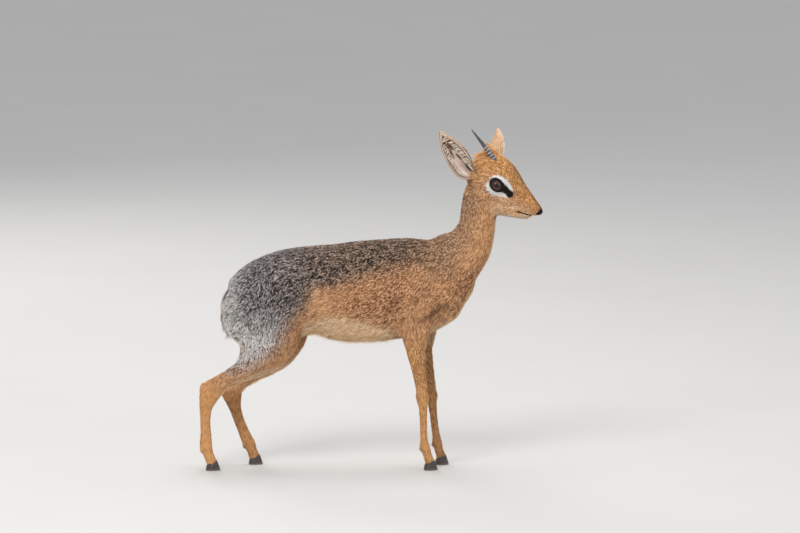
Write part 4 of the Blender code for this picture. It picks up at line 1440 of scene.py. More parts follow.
    def brown(self, at: Spots, flat: Array) -> Array:
        """The darker nose and forehead, painted shade in the folds of the trunk by the elbow and on the
        legs' inner sides, and streaks in the coat.

        Args:
            at: The points.
            flat: Their (x, z), with the left hind leg moved onto the right one.

        Returns:
            How brown each place is.
        """
        s, t, head, points = at.s, at.t, at.head, at.points
        bridge = ramp(at.across, 9, 3) * ramp(s, 84, 116) * ramp(t, 2, 14)
        forehead = ramp(at.across, 13, 5) * ramp(s, 52, 66) * ramp(s, 112, 90)
        tip = ramp(s, 132, 140) * ramp(t, -2, 4) * 0.8
        rust = 0.4 * np.exp(-(((s - self.rust[0]) / 9) ** 2) - ((t - self.rust[1]) / 5) ** 2)
        ear = np.hypot(s - self.behind_ear[0], t - self.behind_ear[1]) + 2 * at.blots
        streak = ramp(ripple(points * [1, 1, 0.25], 0.005), 0.1, 0.9)
        gaskin = ramp(flat[:, 0], -70, -120) * ramp(at.z, 130, 175)
        gaskin *= ramp(at.z, 275, 225)
        layers = [
            head * np.maximum.reduce([0.65 * bridge, 0.4 * forehead, tip, rust]),
            # Painted shade in the groove before the foreleg and in the hollow behind the elbow.
            0.75 * bell(at.near(self.fold), 5.5) * (at.out > 22),
            0.55 * bell(at.near(self.pit), 6) * (1 - at.leg),
            0.55 * head * ramp(ear, 11, 5),
            # The inward term is painted shade: the legs' inner sides, between the legs under the body, are
            # browned more.
            at.leg * (0.18 + 0.4 * streak + 0.25 * ramp(at.inward, -0.2, 0.6)),
            (0.28 + 0.25 * streak) * gaskin * (at.leg + at.haunch),
            0.2 * head * ramp(ripple(points, 0.005), 0.1, 1.2),
            0.36 * head * ramp(at.drawn, 0.1, 0.9),
            0.32 * at.neck * ramp(at.fall, 0.1, 0.9),
        ]
        return np.maximum.reduce(layers)

    def black(self, at: Spots) -> Array:
        """The black rims of the eyes, the glands before them, the lips and the nostrils.

        Args:
            at: The points.

        Returns:
            How black each place is.
        """
        s, t = at.s, at.t
        ring = ramp(self.eyes.opening(at.local), 1.52, 1.4)
        gland = ramp(np.hypot(s - self.gland[0], t - self.gland[1]), 7.2, 5.6)
        band = path_distance(np.stack([s, 0 * s, t], 1), np.array(self.dark_band))
        band = ramp(band / np.interp(s, (58, 66, 76), (8.4, 6.0, 4.6)), 1.08, 0.86)
        mouth, nose = self.lips.distances(at.points)
        mouth_wide = np.interp(s, (103, 107, 118, 135), (0.8, 1.6, 1.2, 1.15))
        lips = ramp(mouth / mouth_wide, 1.2, 0.85)
        nostrils = ramp(nose, 2.5, 1.8)
        pad = ramp(s, 134.5, 137.5) * ramp(t, -2.5, 0) * ramp(at.across, 8, 6) * 0.85
        found = np.maximum.reduce([ring, gland, band]) * ((at.across > 9) * at.head)
        return np.maximum.reduce([found, lips, nostrils, pad * at.head])


def srgb(red: float, green: float, blue: float) -> tuple[float, float, float, float]:
    """A colour given as on a screen, from 0 to 255, as light values."""
    shares = (red / 255, green / 255, blue / 255)
    return (*[((c + 0.055) / 1.055) ** 2.4 if c > 10 / 255 else c / 12.92 for c in shares], 1)


@dataclass
class NodeBoard:
    """Places and joins shader nodes in one tree."""

    tree: NodeTree
    column: int = 0

    def add(self, kind: str, settings: dict | None = None, **inputs: Input) -> Node:
        """Adds a node.

        Args:
            kind: The node's type.
            settings: Its properties.
            inputs: Its inputs by name, with _ for a space: a value, or a socket to join.

        Returns:
            The node.
        """
        node = self.tree.nodes.new(kind)
        node.location = (self.column * 180, 0)
        self.column += 1
        for key, value in (settings or {}).items():
            setattr(node, key, value)
        self.fill(node, inputs)
        return node

    def fill(self, node: Node, inputs: dict[str, Input]) -> None:
        """Sets or joins a node's inputs.

        Args:
            node: The node.
            inputs: Values or sockets by name, with _ for a space, or i and a number.
        """
        for key, value in inputs.items():
            name = key.replace("_", " ")
            socket = node.inputs[int(key[1:])] if key[1:].isdigit() else node.inputs[name]
            if isinstance(value, NodeSocket):
                self.tree.links.new(value, socket)
            else:
                socket.default_value = value

    def surface(self, **inputs: Input) -> None:
        """Sets or joins inputs of the material's Principled shader."""
        self.fill(self.tree.nodes["Principled BSDF"], inputs)

    def bump(self, height: Input, strength: float, distance: float) -> None:
        """Gives the material a fine relief.

        Args:
            height: The socket that is read as height.
            strength: How strongly it shows, from 0 to 1.
            distance: How high it is, in metres.
        """
        settings = {"Strength": strength, "Distance": distance, "Height": height}
        self.surface(Normal=self.add("ShaderNodeBump", {}, **settings).outputs[0])

    def place(self) -> NodeSocket:
        """The socket of a point's place on its piece, in metres."""
        return self.add("ShaderNodeTexCoord").outputs["Object"]

    def stored(self, name: str) -> NodeOutputs:
        """The sockets of the numbers stored under a name for each vertex."""
        return self.add("ShaderNodeAttribute", {"attribute_name": name}).outputs

    def split(self, colour: Input) -> NodeOutputs:
        """The sockets of a colour's red, green and blue."""
        return self.add("ShaderNodeSeparateColor", {}, Color=colour).outputs

    def mix(self, share: Input, low: Input, high: Input, blend: str = "MIX") -> NodeSocket:
        """Mixes two colours by a share and returns the result's socket.

        Args:
            share: How much of the second colour there is.
            low: The first colour.
            high: The second colour.
            blend: How the colours are joined.

        Returns:
            The result's socket.
        """
        settings = {"data_type": "RGBA", "blend_type": blend}
        node = self.add("ShaderNodeMix", settings, i0=share, i6=low, i7=high)
        return node.outputs[2]

    def math(self, operation: str, first: Input, second: Input = 0.0) -> NodeSocket:
        """Does one sum and returns the result's socket."""
        return self.add("ShaderNodeMath", {"operation": operation}, i0=first, i1=second).outputs[0]

    def sum_of(self, *terms: tuple, offset: float = 0.0) -> NodeSocket:
        """Adds sockets, each times its own factor, to an offset and returns the socket.

        Args:
            terms: Pairs of a socket and its factor.
            offset: What is added to them.

        Returns:
            The sum's socket.
        """
        total = offset
        for socket, factor in terms:
            node = self.add("ShaderNodeMath", {"operation": "MULTIPLY_ADD"}, i0=socket, i1=factor)
            if isinstance(total, float):
                node.inputs[2].default_value = total
            else:
                self.tree.links.new(total, node.inputs[2])
            total = node.outputs[0]
        return total

    def ramp(self, value: Input, low: float, high: float) -> NodeSocket:
        """Spreads low to high over 0 to 1, with soft ends.

        Args:
            value: The socket that is read.
            low: Where the step starts.
            high: Where it ends.

        Returns:
            The result's socket.
        """
        settings = {"interpolation_type": "SMOOTHSTEP"}
        node = self.add("ShaderNodeMapRange", settings, i0=value, i1=low, i2=high)
        return node.outputs[0]

    def noise(self, place: Input, scale: Input, detail: float = 2.0) -> NodeSocket:
        """Fine irregularity at a scale and returns its value's socket."""
        node = self.add("ShaderNodeTexNoise", {}, Vector=place, Scale=scale, Detail=detail)
        return node.outputs["Fac"]


def new_material(name: str) -> tuple[Material, NodeBoard]:
    """Makes a material.

    Args:
        name: Its name.

    Returns:
        The material, and the board of its nodes.
    """
    made = bpy.data.materials.new(name)
    made.use_nodes = True
    return made, NodeBoard(made.node_tree)


def dress(obj: Object, material: Material) -> None:
    """Gives a piece its material, its place on the frame and its slot, and reports it.

    Args:
        obj: The piece.
        material: The material it gets.
    """
    obj.data.materials.clear()
    obj.data.materials.append(material)
    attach(obj, "root")
    LOG.info("%s: %d faces", obj.name, len(obj.data.polygons))


@dataclass(frozen=True)
class CoatFinish:
    """The colours of skin and coat, and how they are mixed from the masks."""

    tan: tuple = srgb(255, 196, 140)
    tan_dark: tuple = srgb(112, 58, 32)
    bright: tuple = srgb(255, 190, 108)
    grizzle: tuple = srgb(220, 186, 160)
    grizzle_dark: tuple = srgb(32, 23, 19)
    cool: tuple = srgb(220, 208, 204)
    cool_dark: tuple = srgb(27, 24, 24)
    pale: tuple = srgb(255, 232, 196)
    pale_dark: tuple = srgb(226, 180, 132)
    white: tuple = srgb(252, 249, 244)
    fleck: tuple = srgb(255, 224, 182)
    brown: tuple = srgb(158, 100, 64)
    brown_dark: tuple = srgb(58, 36, 26)
    black: tuple = srgb(14, 11, 10)
    speckle_scale: float = 540.0
    roughness: float = 0.65
    shine: float = 0.25

    def group(self) -> NodeTree:
        """The shader group that turns masks and strand values into a colour, darker towards the hairs'
        roots, partly with painted shade.

        Returns:
            The group.
        """
        tree = bpy.data.node_groups.new("coat_colour", "ShaderNodeTree")
        sockets = {"Marks A": "Color", "Marks B": "Color", "Strand": "Color", "White": "Float"}
        sockets |= {"Speckle Strength": "Float", "Speckle Scale": "Float", "Place": "Vector"}
        for name, kind in sockets.items():
            tree.interface.new_socket(name, in_out="INPUT", socket_type=f"NodeSocket{kind}")
        tree.interface.new_socket("Color", in_out="OUTPUT", socket_type="NodeSocketColor")
        board = NodeBoard(tree)
        source = board.add("NodeGroupInput").outputs
        marks_a, marks_b, strand = (board.split(source[k]) for k in ("Marks A", "Marks B", "Strand"))
        noise = board.noise(source["Place"], source["Speckle Scale"], 1.5)
        wide = board.noise(source["Place"], 38, 3)
        value = board.sum_of(
            (noise, 0.65), (strand[0], 0.28), (strand[2], 0.13), (strand[1], 0.16), (source["White"], 0.06)
        )
        strong = board.ramp(value, 0.65, 0.735)
        gentle = board.ramp(value, 0.53, 0.72)
        calm = board.mix(source["Speckle Strength"], (0.88, 0.88, 0.88, 1), gentle)
        bright = board.mix(calm, self.tan_dark, self.bright)
        flecks = board.math("MULTIPLY", board.ramp(value, 0.7, 0.8), 0.6)
        warm = board.mix(strong, self.grizzle_dark, self.grizzle)
        cool = board.mix(strong, self.cool_dark, self.cool)
        # The brown layer also carries the painted shade by the elbow and on the legs' inner sides.
        browned = board.mix(gentle, self.brown_dark, self.brown)
        pale = board.mix(gentle, self.pale_dark, self.pale)
        solid = board.ramp(source["White"], 0.85, 1.0)
        speckled = board.add("ShaderNodeMix", {}, i0=solid, i2=gentle, i3=1.0).outputs[0]
        layers = (
            (marks_b[0], bright),
            (flecks, self.fleck),
            (marks_a[0], board.mix(marks_a[1], warm, cool)),
            (marks_b[1], browned),
            (marks_a[2], pale),
            (board.math("MULTIPLY", source["White"], speckled), self.white),
            (marks_b[2], self.black),
        )
        colour = board.mix(calm, self.tan_dark, self.tan)
        for share, layer in layers:
            colour = board.mix(share, colour, layer)
        # Darker towards each hair's root: partly the hairs' own darker bases, partly painted shade deep in
        # the coat. Drift is a slow random change of tone.
        depth = board.sum_of((strand[1], 0.45), offset=0.65)
        drift = board.sum_of((wide, 0.3), offset=0.85)
        level = board.math("MULTIPLY", depth, drift)
        root_shade_and_drift = board.add("ShaderNodeCombineColor", {}, i0=level, i1=level, i2=level).outputs[0]
        result = board.mix(1.0, colour, root_shade_and_drift, "MULTIPLY")
        board.add("NodeGroupOutput", {}, Color=result)
        return tree

    def material(self, name: str, group: NodeTree, bump: float) -> Material:
        """A coat material.

        Args:
            name: Its name.
            group: The colour group.
            bump: How strongly fine hair shows as relief, or 0.

        Returns:
            The material.
        """
        made, board = new_material(name)
        place = board.place()
        a, b = board.stored("marks_a"), board.stored("marks_b")
        node = board.add(
            "ShaderNodeGroup",
            {"node_tree": group},
            Marks_A=a["Color"],
            Marks_B=b["Color"],
            Strand=board.stored("strand")["Color"],
            White=a["Alpha"],
            Speckle_Strength=b["Alpha"],
            Speckle_Scale=self.speckle_scale,
            Place=place,
        )
        board.surface(Base_Color=node.outputs[0], Roughness=self.roughness, Specular_IOR_Level=self.shine)
        if bump:
            board.bump(board.noise(place, 900, 3), bump, 0.0006)
        return made


@dataclass
class Studio:
    """The pale floor, the soft lights and the camera at the photograph's angle."""

    metres_per_pixel: float = 0.001695
    frame_width: int = 800
    elevation: float = math.radians(8)
    distance: float = 12.0
    aim: Triple = (0.049, 0, 0.344)
    sensor: float = 36.0
    floor_colour: tuple = srgb(194, 192, 188)
    floor_reach: float = 30.0
    light_aim: Triple = (0, 0, 0.3)
    lights: tuple[tuple, ...] = (
        ("key", (-1.1, -2.6, 2.7), 1.5, 84, (1, 0.98, 0.95)),
        ("fill", (2.6, -2.0, 1.3), 1.8, 20, (0.95, 0.97, 1)),
        ("top", (0.2, 0.7, 3.0), 1.6, 34, (1, 1, 1)),
        ("back", (-1.4, 2.8, 1.9), 1.6, 32, (1, 1, 1)),
    )
    surround: tuple[float, ...] = (0.93, 0.95, 1, 1)
    surround_strength: float = 0.76

    def camera(self) -> None:
        """Makes the camera and gives it to the scene."""
        data = bpy.data.cameras.new("camera")
        obj = bpy.data.objects.new("camera", data)
        bpy.context.scene.collection.objects.link(obj)
        back = Vector((0, -math.cos(self.elevation), math.sin(self.elevation)))
        obj.location = Vector(self.aim) + back * self.distance
        obj.rotation_euler = (-back).to_track_quat("-Z", "Y").to_euler()
        data.sensor_width = self.sensor
        width = self.frame_width * self.metres_per_pixel
        data.lens = self.sensor * self.distance / width
        data.clip_end = 100
        bpy.context.scene.camera = obj

    def light(self, name: str, place: tuple, size: float, power: float, colour: tuple) -> None:
        """Adds a square soft light that faces the animal.

        Args:
            name: Its name.
            place: Where it stands, in metres.
            size: Its width in metres.
            power: Its power in watts.
            colour: Its red, green and blue.
        """
        data = bpy.data.lights.new(name, "AREA")
        data.shape = "SQUARE"
        data.size = size
        data.energy = power
        data.color = colour
        obj = bpy.data.objects.new(name, data)
        obj.location = place
        aim = Vector(self.light_aim) - Vector(place)
        obj.rotation_euler = aim.to_track_quat("-Z", "Y").to_euler()
        bpy.context.scene.collection.objects.link(obj)

    def floor(self) -> None:
        """Makes a flat pale floor that reaches far past the animal on every side."""
        ends = np.linspace(-self.floor_reach, self.floor_reach, 9)
        points = np.array([(x, y, 0) for y in ends for x in ends])
        mesh = mesh_from("floor", points, [grid_faces(len(ends), len(ends))])
        obj = new_object("floor", mesh)
        made, board = new_material("floor_paper")
        low = tuple(c * 0.94 for c in self.floor_colour[:3]) + (1,)
        grain = board.noise(board.place(), 3, 4)
        board.surface(Base_Color=board.mix(grain, low, self.floor_colour), Roughness=0.85)
        obj.data.materials.append(made)

    def build(self) -> None:
        """Makes the camera, floor, lights and the pale surround."""
        self.camera()
        self.floor()
        for row in self.lights:
            self.light(*row)
        world = bpy.data.worlds.new("studio")
        world.use_nodes = True
        background = world.node_tree.nodes["Background"].inputs
        background["Color"].default_value = self.surround
        background["Strength"].default_value = self.surround_strength
        bpy.context.scene.world = world
        bpy.context.scene.view_settings.view_transform = "Standard"


@dataclass
class Strands:
    """Thin flat ribbons of hair, each a row of stations from root to tip."""

    points: Array
    across: Array
    widths: Array

    @classmethod
    def upright(cls, points: Array, widths: tuple[float, ...]) -> "Strands":
        """Ribbons that stand with their flat sides level.

        Args:
            points: The stations of each ribbon, in the frame.
            widths: The width at each station, in millimetres.

        Returns:
            The ribbons.
        """
        lead = unit(points[:, -1] - points[:, 0])
        across = unit(np.cross(lead, np.array([0.0, 0.0, 1.0])))
        wide = np.tile(np.array(widths) * MM, (len(points), 1))
        return cls(points, np.repeat(across[:, None], len(widths), 1), wide)

    def mesh(self, name: str) -> tuple[Mesh, Array]:
        """Builds the ribbons.

        Args:
            name: The mesh's name.

        Returns:
            The mesh, and how far along its ribbon each vertex lies, from 0 to 1.
        """
        count, stations, _ = self.points.shape
        half = self.across * self.widths[:, :, None] / 2
        body = np.stack([self.points[:, :-1] - half[:, :-1], self.points[:, :-1] + half[:, :-1]], 2)
        body = body.reshape(count, -1, 3)
        points = np.concatenate([body, self.points[:, -1:]], 1)
        each = points.shape[1]
        faces = []
        for k in range(stations - 2):
            a = 2 * k
            faces += [(a, a + 1, a + 3), (a, a + 3, a + 2)]
        last = 2 * (stations - 2)
        faces.append((last, last + 1, last + 2))
        first = np.arange(count)[:, None, None] * each
        mesh = mesh_from(name, points.reshape(-1, 3), [(first + np.array(faces)[None]).reshape(-1, 3)])
        along = np.repeat(np.arange(stations - 1) / (stations - 1), 2).tolist() + [1.0]
        return mesh, np.tile(along, count)


def patch_uv(mesh: Mesh, roots: Array, each: int, along: Array, size: float) -> None:
    """Gives each ribbon a small patch at its root's place on the skin's unwrap.

    Args:
        mesh: The ribbons' mesh.
        roots: The place of each root on the unwrap.
        each: How many vertices a ribbon has.
        along: How far along its ribbon each vertex lies.
        size: How far across a patch is.
    """
    layer = mesh.uv_layers.new(name="OFBake")
    corners = np.empty(len(mesh.loops), np.int32)
    mesh.loops.foreach_get("vertex_index", corners)
    number = np.arange(len(along)) % each
    across = np.where(number == each - 1, 0.5, number % 2)
    place = np.repeat(roots, each, 0)
    uv = place + np.stack([across - 0.5, along - 0.5], 1) * size
    layer.data.foreach_set("uv", uv[corners].astype(np.float32).ravel())


@dataclass
class Looks:
    """The colours of a set of ribbons: their two rows of masks, and their locks' tones."""

    marks_a: Array
    marks_b: Array
    tone: Array

    @classmethod
    def plain(cls, count: int, tone: Array, **masks: float) -> "Looks":
        """One look for all ribbons.

        Args:
            count: How many ribbons there are.
            tone: The tone of each.
            masks: The values of any masks that are not 0, by name.

        Returns:
            The looks.
        """
        names = ("grizzle", "cool", "pale", "white", "bright", "brown", "black", "speckle")
        row = np.array([masks.get(name, 0.0) for name in names])
        rows = np.tile(row, (count, 1))
        return cls(rows[:, :4], rows[:, 4:], tone)


@dataclass
class HairMaker:
    """Makes pieces of hair with the coat's own material."""

    material: Material
    seed: int = 57

    def make(
        self,
        name: str,
        strands: Strands,
        places: Array,
        looks: Looks,
        draw: Generator | None = None,
    ) -> None:
        """Makes one piece of hair from ribbons.

        Args:
            name: The piece's name.
            strands: The ribbons.
            places: Where each root lies on the unwrap.
            looks: The ribbons' colours.
            draw: The source of chance, or None for the maker's own.
        """
        draw = draw or default_rng(self.seed)
        mesh, along = strands.mesh(name)
        count = len(places)
        each = len(along) // count
        patch_uv(mesh, places, each, along, OFBAKE_PATCH)
        own = np.repeat(draw.random(count), each)
        tone = np.repeat(looks.tone, each)
        paint_points(mesh, "strand", np.stack([tone, along, own, np.ones(len(along))], 1))
        paint_points(mesh, "marks_a", np.repeat(looks.marks_a, each, 0))
        paint_points(mesh, "marks_b", np.repeat(looks.marks_b, each, 0))
        dress(new_object(name, mesh), self.material)


@dataclass
class Coat:
    """The coat of thin mesh tufts over the skin."""

    skin: Object
    guides: Guides
    shares: Array
    flow: Array
    nearest: Array
    plan: dict[str, Array]
    marks: tuple[Array, Array]
    bare: Array
    seed: int = 31
    thinning: float = 0.955
    margin: float = 0.004
    guard_share: float = 0.07
    guard_lift: float = 1.4
    wisp_length: float = 0.011
    wisp_lift: float = 1.45

    @staticmethod
    def slot(kind: Kind) -> str:
        """The slot that a region's coat fills."""
        return "tan_coat" if kind in (Kind.HEAD, Kind.LEG) else "grizzled_coat"

    def roots(self) -> dict[str, Array]:
        """Scatters the roots over the skin, more of them where the coat is finer.

        Returns:
            For each root its place, normal, lie, region, plan and markings.
        """
        draw = default_rng(self.seed)
        mesh = self.skin.data
        mesh.calc_loop_triangles()
        flat = np.empty(len(mesh.loop_triangles) * 3, np.int32)
        mesh.loop_triangles.foreach_get("vertices", flat)
        tris = flat.reshape(-1, 3)
        points, normals = vertex_points(mesh), vertex_normals(mesh)
        a, b, c = (points[tris[:, k]] for k in range(3))
        area = np.linalg.norm(np.cross(b - a, c - a), axis=1) / 2 / MM**2
        close = self.plan["close"] * (1 - self.bare)
        weight = area * close[tris].mean(1) * self.thinning
        total = np.cumsum(weight)
        chosen = np.searchsorted(total, draw.random(int(total[-1])) * total[-1])
        chosen = np.minimum(chosen, len(tris) - 1)
        u, v = draw.random((2, len(chosen)))
        flip = u + v > 1
        u, v = np.where(flip, 1 - u, u), np.where(flip, 1 - v, v)
        mix = np.stack([1 - u - v, u, v], 1)
        corners = tris[chosen]

        def read(values: Array) -> Array:
            """Values at the roots, from those at the vertices."""
            shares = mix if values.ndim == 1 else mix[:, :, None]
            return (values[corners] * shares).sum(1)

        found = {"place": read(points), "normal": unit(read(normals)), "flow": read(self.flow)}
        found["share"] = read(self.shares)
        found["nearest"] = self.nearest[corners[:, 0]]
        found["marks_a"], found["marks_b"] = (read(m) for m in self.marks)
        for key, values in self.plan.items():
            found[key] = read(values)
        return found

    def gather(self, roots: dict[str, Array], draw: Generator) -> None:
        """Gives each root the lock it belongs to: its middle root, and the lock's tone.

        Args:
            roots: The roots' values by name.
            draw: The source of chance.
        """
        chance = 1 / (roots["close"] * roots["lock"] ** 2 * self.thinning)
        centres = np.flatnonzero(draw.random(len(chance)) < chance)
        tree = KDTree(len(centres))
        for k, place in enumerate(roots["place"][centres]):
            tree.insert(place, k)
        tree.balance()
        mine = np.fromiter((tree.find(p)[1] for p in roots["place"]), int, len(chance))
        roots["centre"] = roots["place"][centres[mine]]
        roots["tone"] = draw.random(len(centres))[mine]
        roots["sway"] = draw.normal(0, 1, len(centres))[mine]
        roots["loft"] = draw.uniform(0.7, 1.25, len(centres))[mine]

    def strands(self, roots: dict[str, Array], draw: Generator) -> Strands:
        """Bends a three-station ribbon from each root along the lie of the coat.

        Args:
            roots: The roots' values by name.
            draw: The source of chance.

        Returns:
            The ribbons.
        """
        n = roots["normal"]
        lead = unit(roots["flow"] - n * (roots["flow"] * n).sum(1, keepdims=True))
        across = np.cross(n, lead)
        count = len(n)
        swirl = ripple(roots["place"], 0.016) * 0.8 + ripple(roots["place"], 0.006) * 0.5
        turn = roots["stray"] * (swirl + 0.7 * roots["sway"] + draw.normal(0, 0.4, count))
        lead = lead * np.cos(turn)[:, None] + across * np.sin(turn)[:, None]
        across = np.cross(n, lead)
        roll = draw.normal(0, 0.4, count)[:, None]
        across = across * np.cos(roll) + n * np.sin(roll)
        length = (roots["length"] * draw.uniform(0.7, 1.15, count))[:, None]
        guard = draw.random(count) < self.guard_share
        rise = roots["depth"] * draw.uniform(0.7, 1.1, count) * roots["loft"]
        wisp = np.clip(roots["length"] / self.wisp_length, 1.0, self.wisp_lift)
        rise = (rise * np.where(guard, self.guard_lift * wisp, 1.0))[:, None]
        towards = roots["centre"] - roots["place"]
        towards -= n * (towards * n).sum(1, keepdims=True)
        base = roots["place"] - n * 0.2 * MM
        middle = roots["place"] + lead * length * 0.45 + n * rise * 0.8 + towards * 0.25
        tip = roots["place"] + lead * length + n * rise + towards * 0.65
        points = np.stack([base, middle, tip], 1)
        width = roots["width"][:, None] * draw.uniform(0.75, 1.25, count)[:, None]
        width = width * np.where(guard, 0.75, 1.0)[:, None]
        widths = width * np.array([0.9, 0.85, 0.12])[None]
        return Strands(points, np.repeat(across[:, None], 3, 1), widths)

    def places_on_unwrap(self, roots: dict[str, Array]) -> Array:
        """Where each root lies on the unrolled tubes of skin, packed into one square.

        Args:
            roots: The roots' values by name.

        Returns:
            One pair from 0 to 1 for each root.
        """
        tube, run, angle = self.guides.unwrap(roots["place"], roots["nearest"])
        place = np.zeros((len(tube), 2))
        low = 0.0
        for number in np.unique(tube):
            mine = tube == number
            high = low + mine.mean()
            for column, values, start, end in ((0, angle, 0.0, 1.0), (1, run, low, high)):
                part = values[mine]
                spread = max(np.ptp(part), 1e-9)
                inner = (part - part.min()) / spread
                edge = min(self.margin, (end - start) / 4)
                place[mine, column] = start + edge + inner * (end - start - 2 * edge)
            low = high
        return place

    def piece_names(self, roots: dict[str, Array]) -> Array:
        """The name of the coat piece that each root belongs to.

        Args:
            roots: The roots' values by name.

        Returns:
            One name for each root.
        """
        kind = roots["share"].argmax(1)
        right = roots["place"][:, 1] < 0
        front = roots["place"][:, 0] > -0.02
        words = np.array([k.name.lower() for k in Kind])[kind]
        split = np.isin(kind, (Kind.TRUNK, Kind.LEG))
        ends = np.where(front, "_front", "_rear")
        names = np.char.add("coat_", words)
        names = np.where(split, np.char.add(names, ends), names)
        sided = ~np.isin(kind, (Kind.NECK, Kind.TAIL))
        return np.where(sided, np.char.add(names, np.where(right, "_right", "_left")), names)

    def build(self, hair: HairMaker) -> None:
        """Makes the pieces of the coat.

        Args:
            hair: The maker of hair.
        """
        draw = default_rng(self.seed + 1)
        roots = self.roots()
        self.gather(roots, draw)
        names = self.piece_names(roots)
        for name in np.unique(names):
            mine = {key: values[names == name] for key, values in roots.items()}
            strands = self.strands(mine, draw)
            kind = Kind(int(mine["share"].sum(0).argmax()))
            looks = Looks(mine["marks_a"], mine["marks_b"], mine["tone"])
            places = self.places_on_unwrap(mine)
            hair.make(str(name), strands, places, looks, draw)


@dataclass
class EyeBall:
    """One eyeball with its bulging cornea, its iris and its level slot of a pupil."""

    eyes: EyePlaces
    side: Side
    rows: int = 40
    columns: int = 64
    bulge: float = 0.035
    bulge_reach: float = 0.62

    def build(self, material: Material) -> None:
        """Makes the eyeball in place of the solid one.

        Args:
            material: The material it gets.
        """
        polar = np.linspace(0, math.pi, self.rows)
        angle = np.arange(self.columns) * math.tau / self.columns
        reach = self.eyes.radius * (1 + self.bulge * np.exp(-((polar / self.bulge_reach) ** 4)))
        flat = (reach * np.sin(polar))[:, None]
        s = flat * np.cos(angle)
        t = flat * np.sin(angle)
        out = np.repeat((reach * np.cos(polar))[:, None], self.columns, 1)
        local = np.stack([s, self.side * out, t], 2).reshape(-1, 3)
        points = self.eyes.axes.world(local + self.eyes.centre(self.side))
        faces = grid_faces(self.rows, self.columns, True)
        if self.side is Side.RIGHT:
            faces = faces[:, ::-1]
        mesh = mesh_from(f"eyeball_{self.side.word}", points, [faces])
        unit_place = local / self.eyes.radius
        turned = np.repeat(polar, self.columns)
        iris = np.stack([unit_place[:, 0], unit_place[:, 2], turned, np.ones(len(turned))], 1)
        paint_points(mesh, "iris", iris)
        obj = new_object(mesh.name, mesh)
        merge(obj)
        dress(obj, material)
        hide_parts(f"eye_{self.side.word}")


@dataclass(frozen=True)
class EyeFinish:
    """The wet dark eye."""

    pupil: tuple = srgb(5, 4, 5)
    iris_inner: tuple = srgb(116, 70, 46)
    iris_outer: tuple = srgb(76, 44, 31)
    rim: tuple = srgb(12, 8, 8)
    pupil_long: float = 0.52
    pupil_high: float = 0.36
    iris_reach: float = 0.98

    def material(self) -> Material:
        """The eyeball's material.

        Returns:
            The material.
        """
        made, board = new_material("wet_eye")
        parts = board.split(board.stored("iris")["Color"])
        sizes = (self.pupil_long, self.pupil_high)
        shares = (board.math("DIVIDE", part, size) for part, size in zip(parts, sizes))
        square = board.math("ADD", *(board.math("POWER", board.math("ABSOLUTE", s), 2.6) for s in shares))
        around = board.math("MULTIPLY", board.math("ARCTAN2", parts[0], parts[1]), 9.0)
        outward = board.math("MULTIPLY", parts[2], 3.0)
        spoke = board.add("ShaderNodeCombineXYZ", {}, i0=around, i1=outward).outputs[0]
        streak = board.noise(spoke, 1.0, 3)
        reach = self.iris_reach
        iris = board.mix(board.ramp(parts[2], 0.3, reach), self.iris_inner, self.iris_outer)
        iris = board.mix(board.ramp(streak, 0.3, 0.75), iris, self.rim)
        iris = board.mix(board.ramp(square, 0.75, 1.15), self.pupil, iris)
        colour = board.mix(board.ramp(parts[2], reach, reach + 0.12), iris, self.rim)
        board.surface(Base_Color=colour, Roughness=0.3, Specular_IOR_Level=0.1)
        board.surface(Coat_Weight=1.0, Coat_IOR=1.36, Coat_Roughness=0.02)
        return made


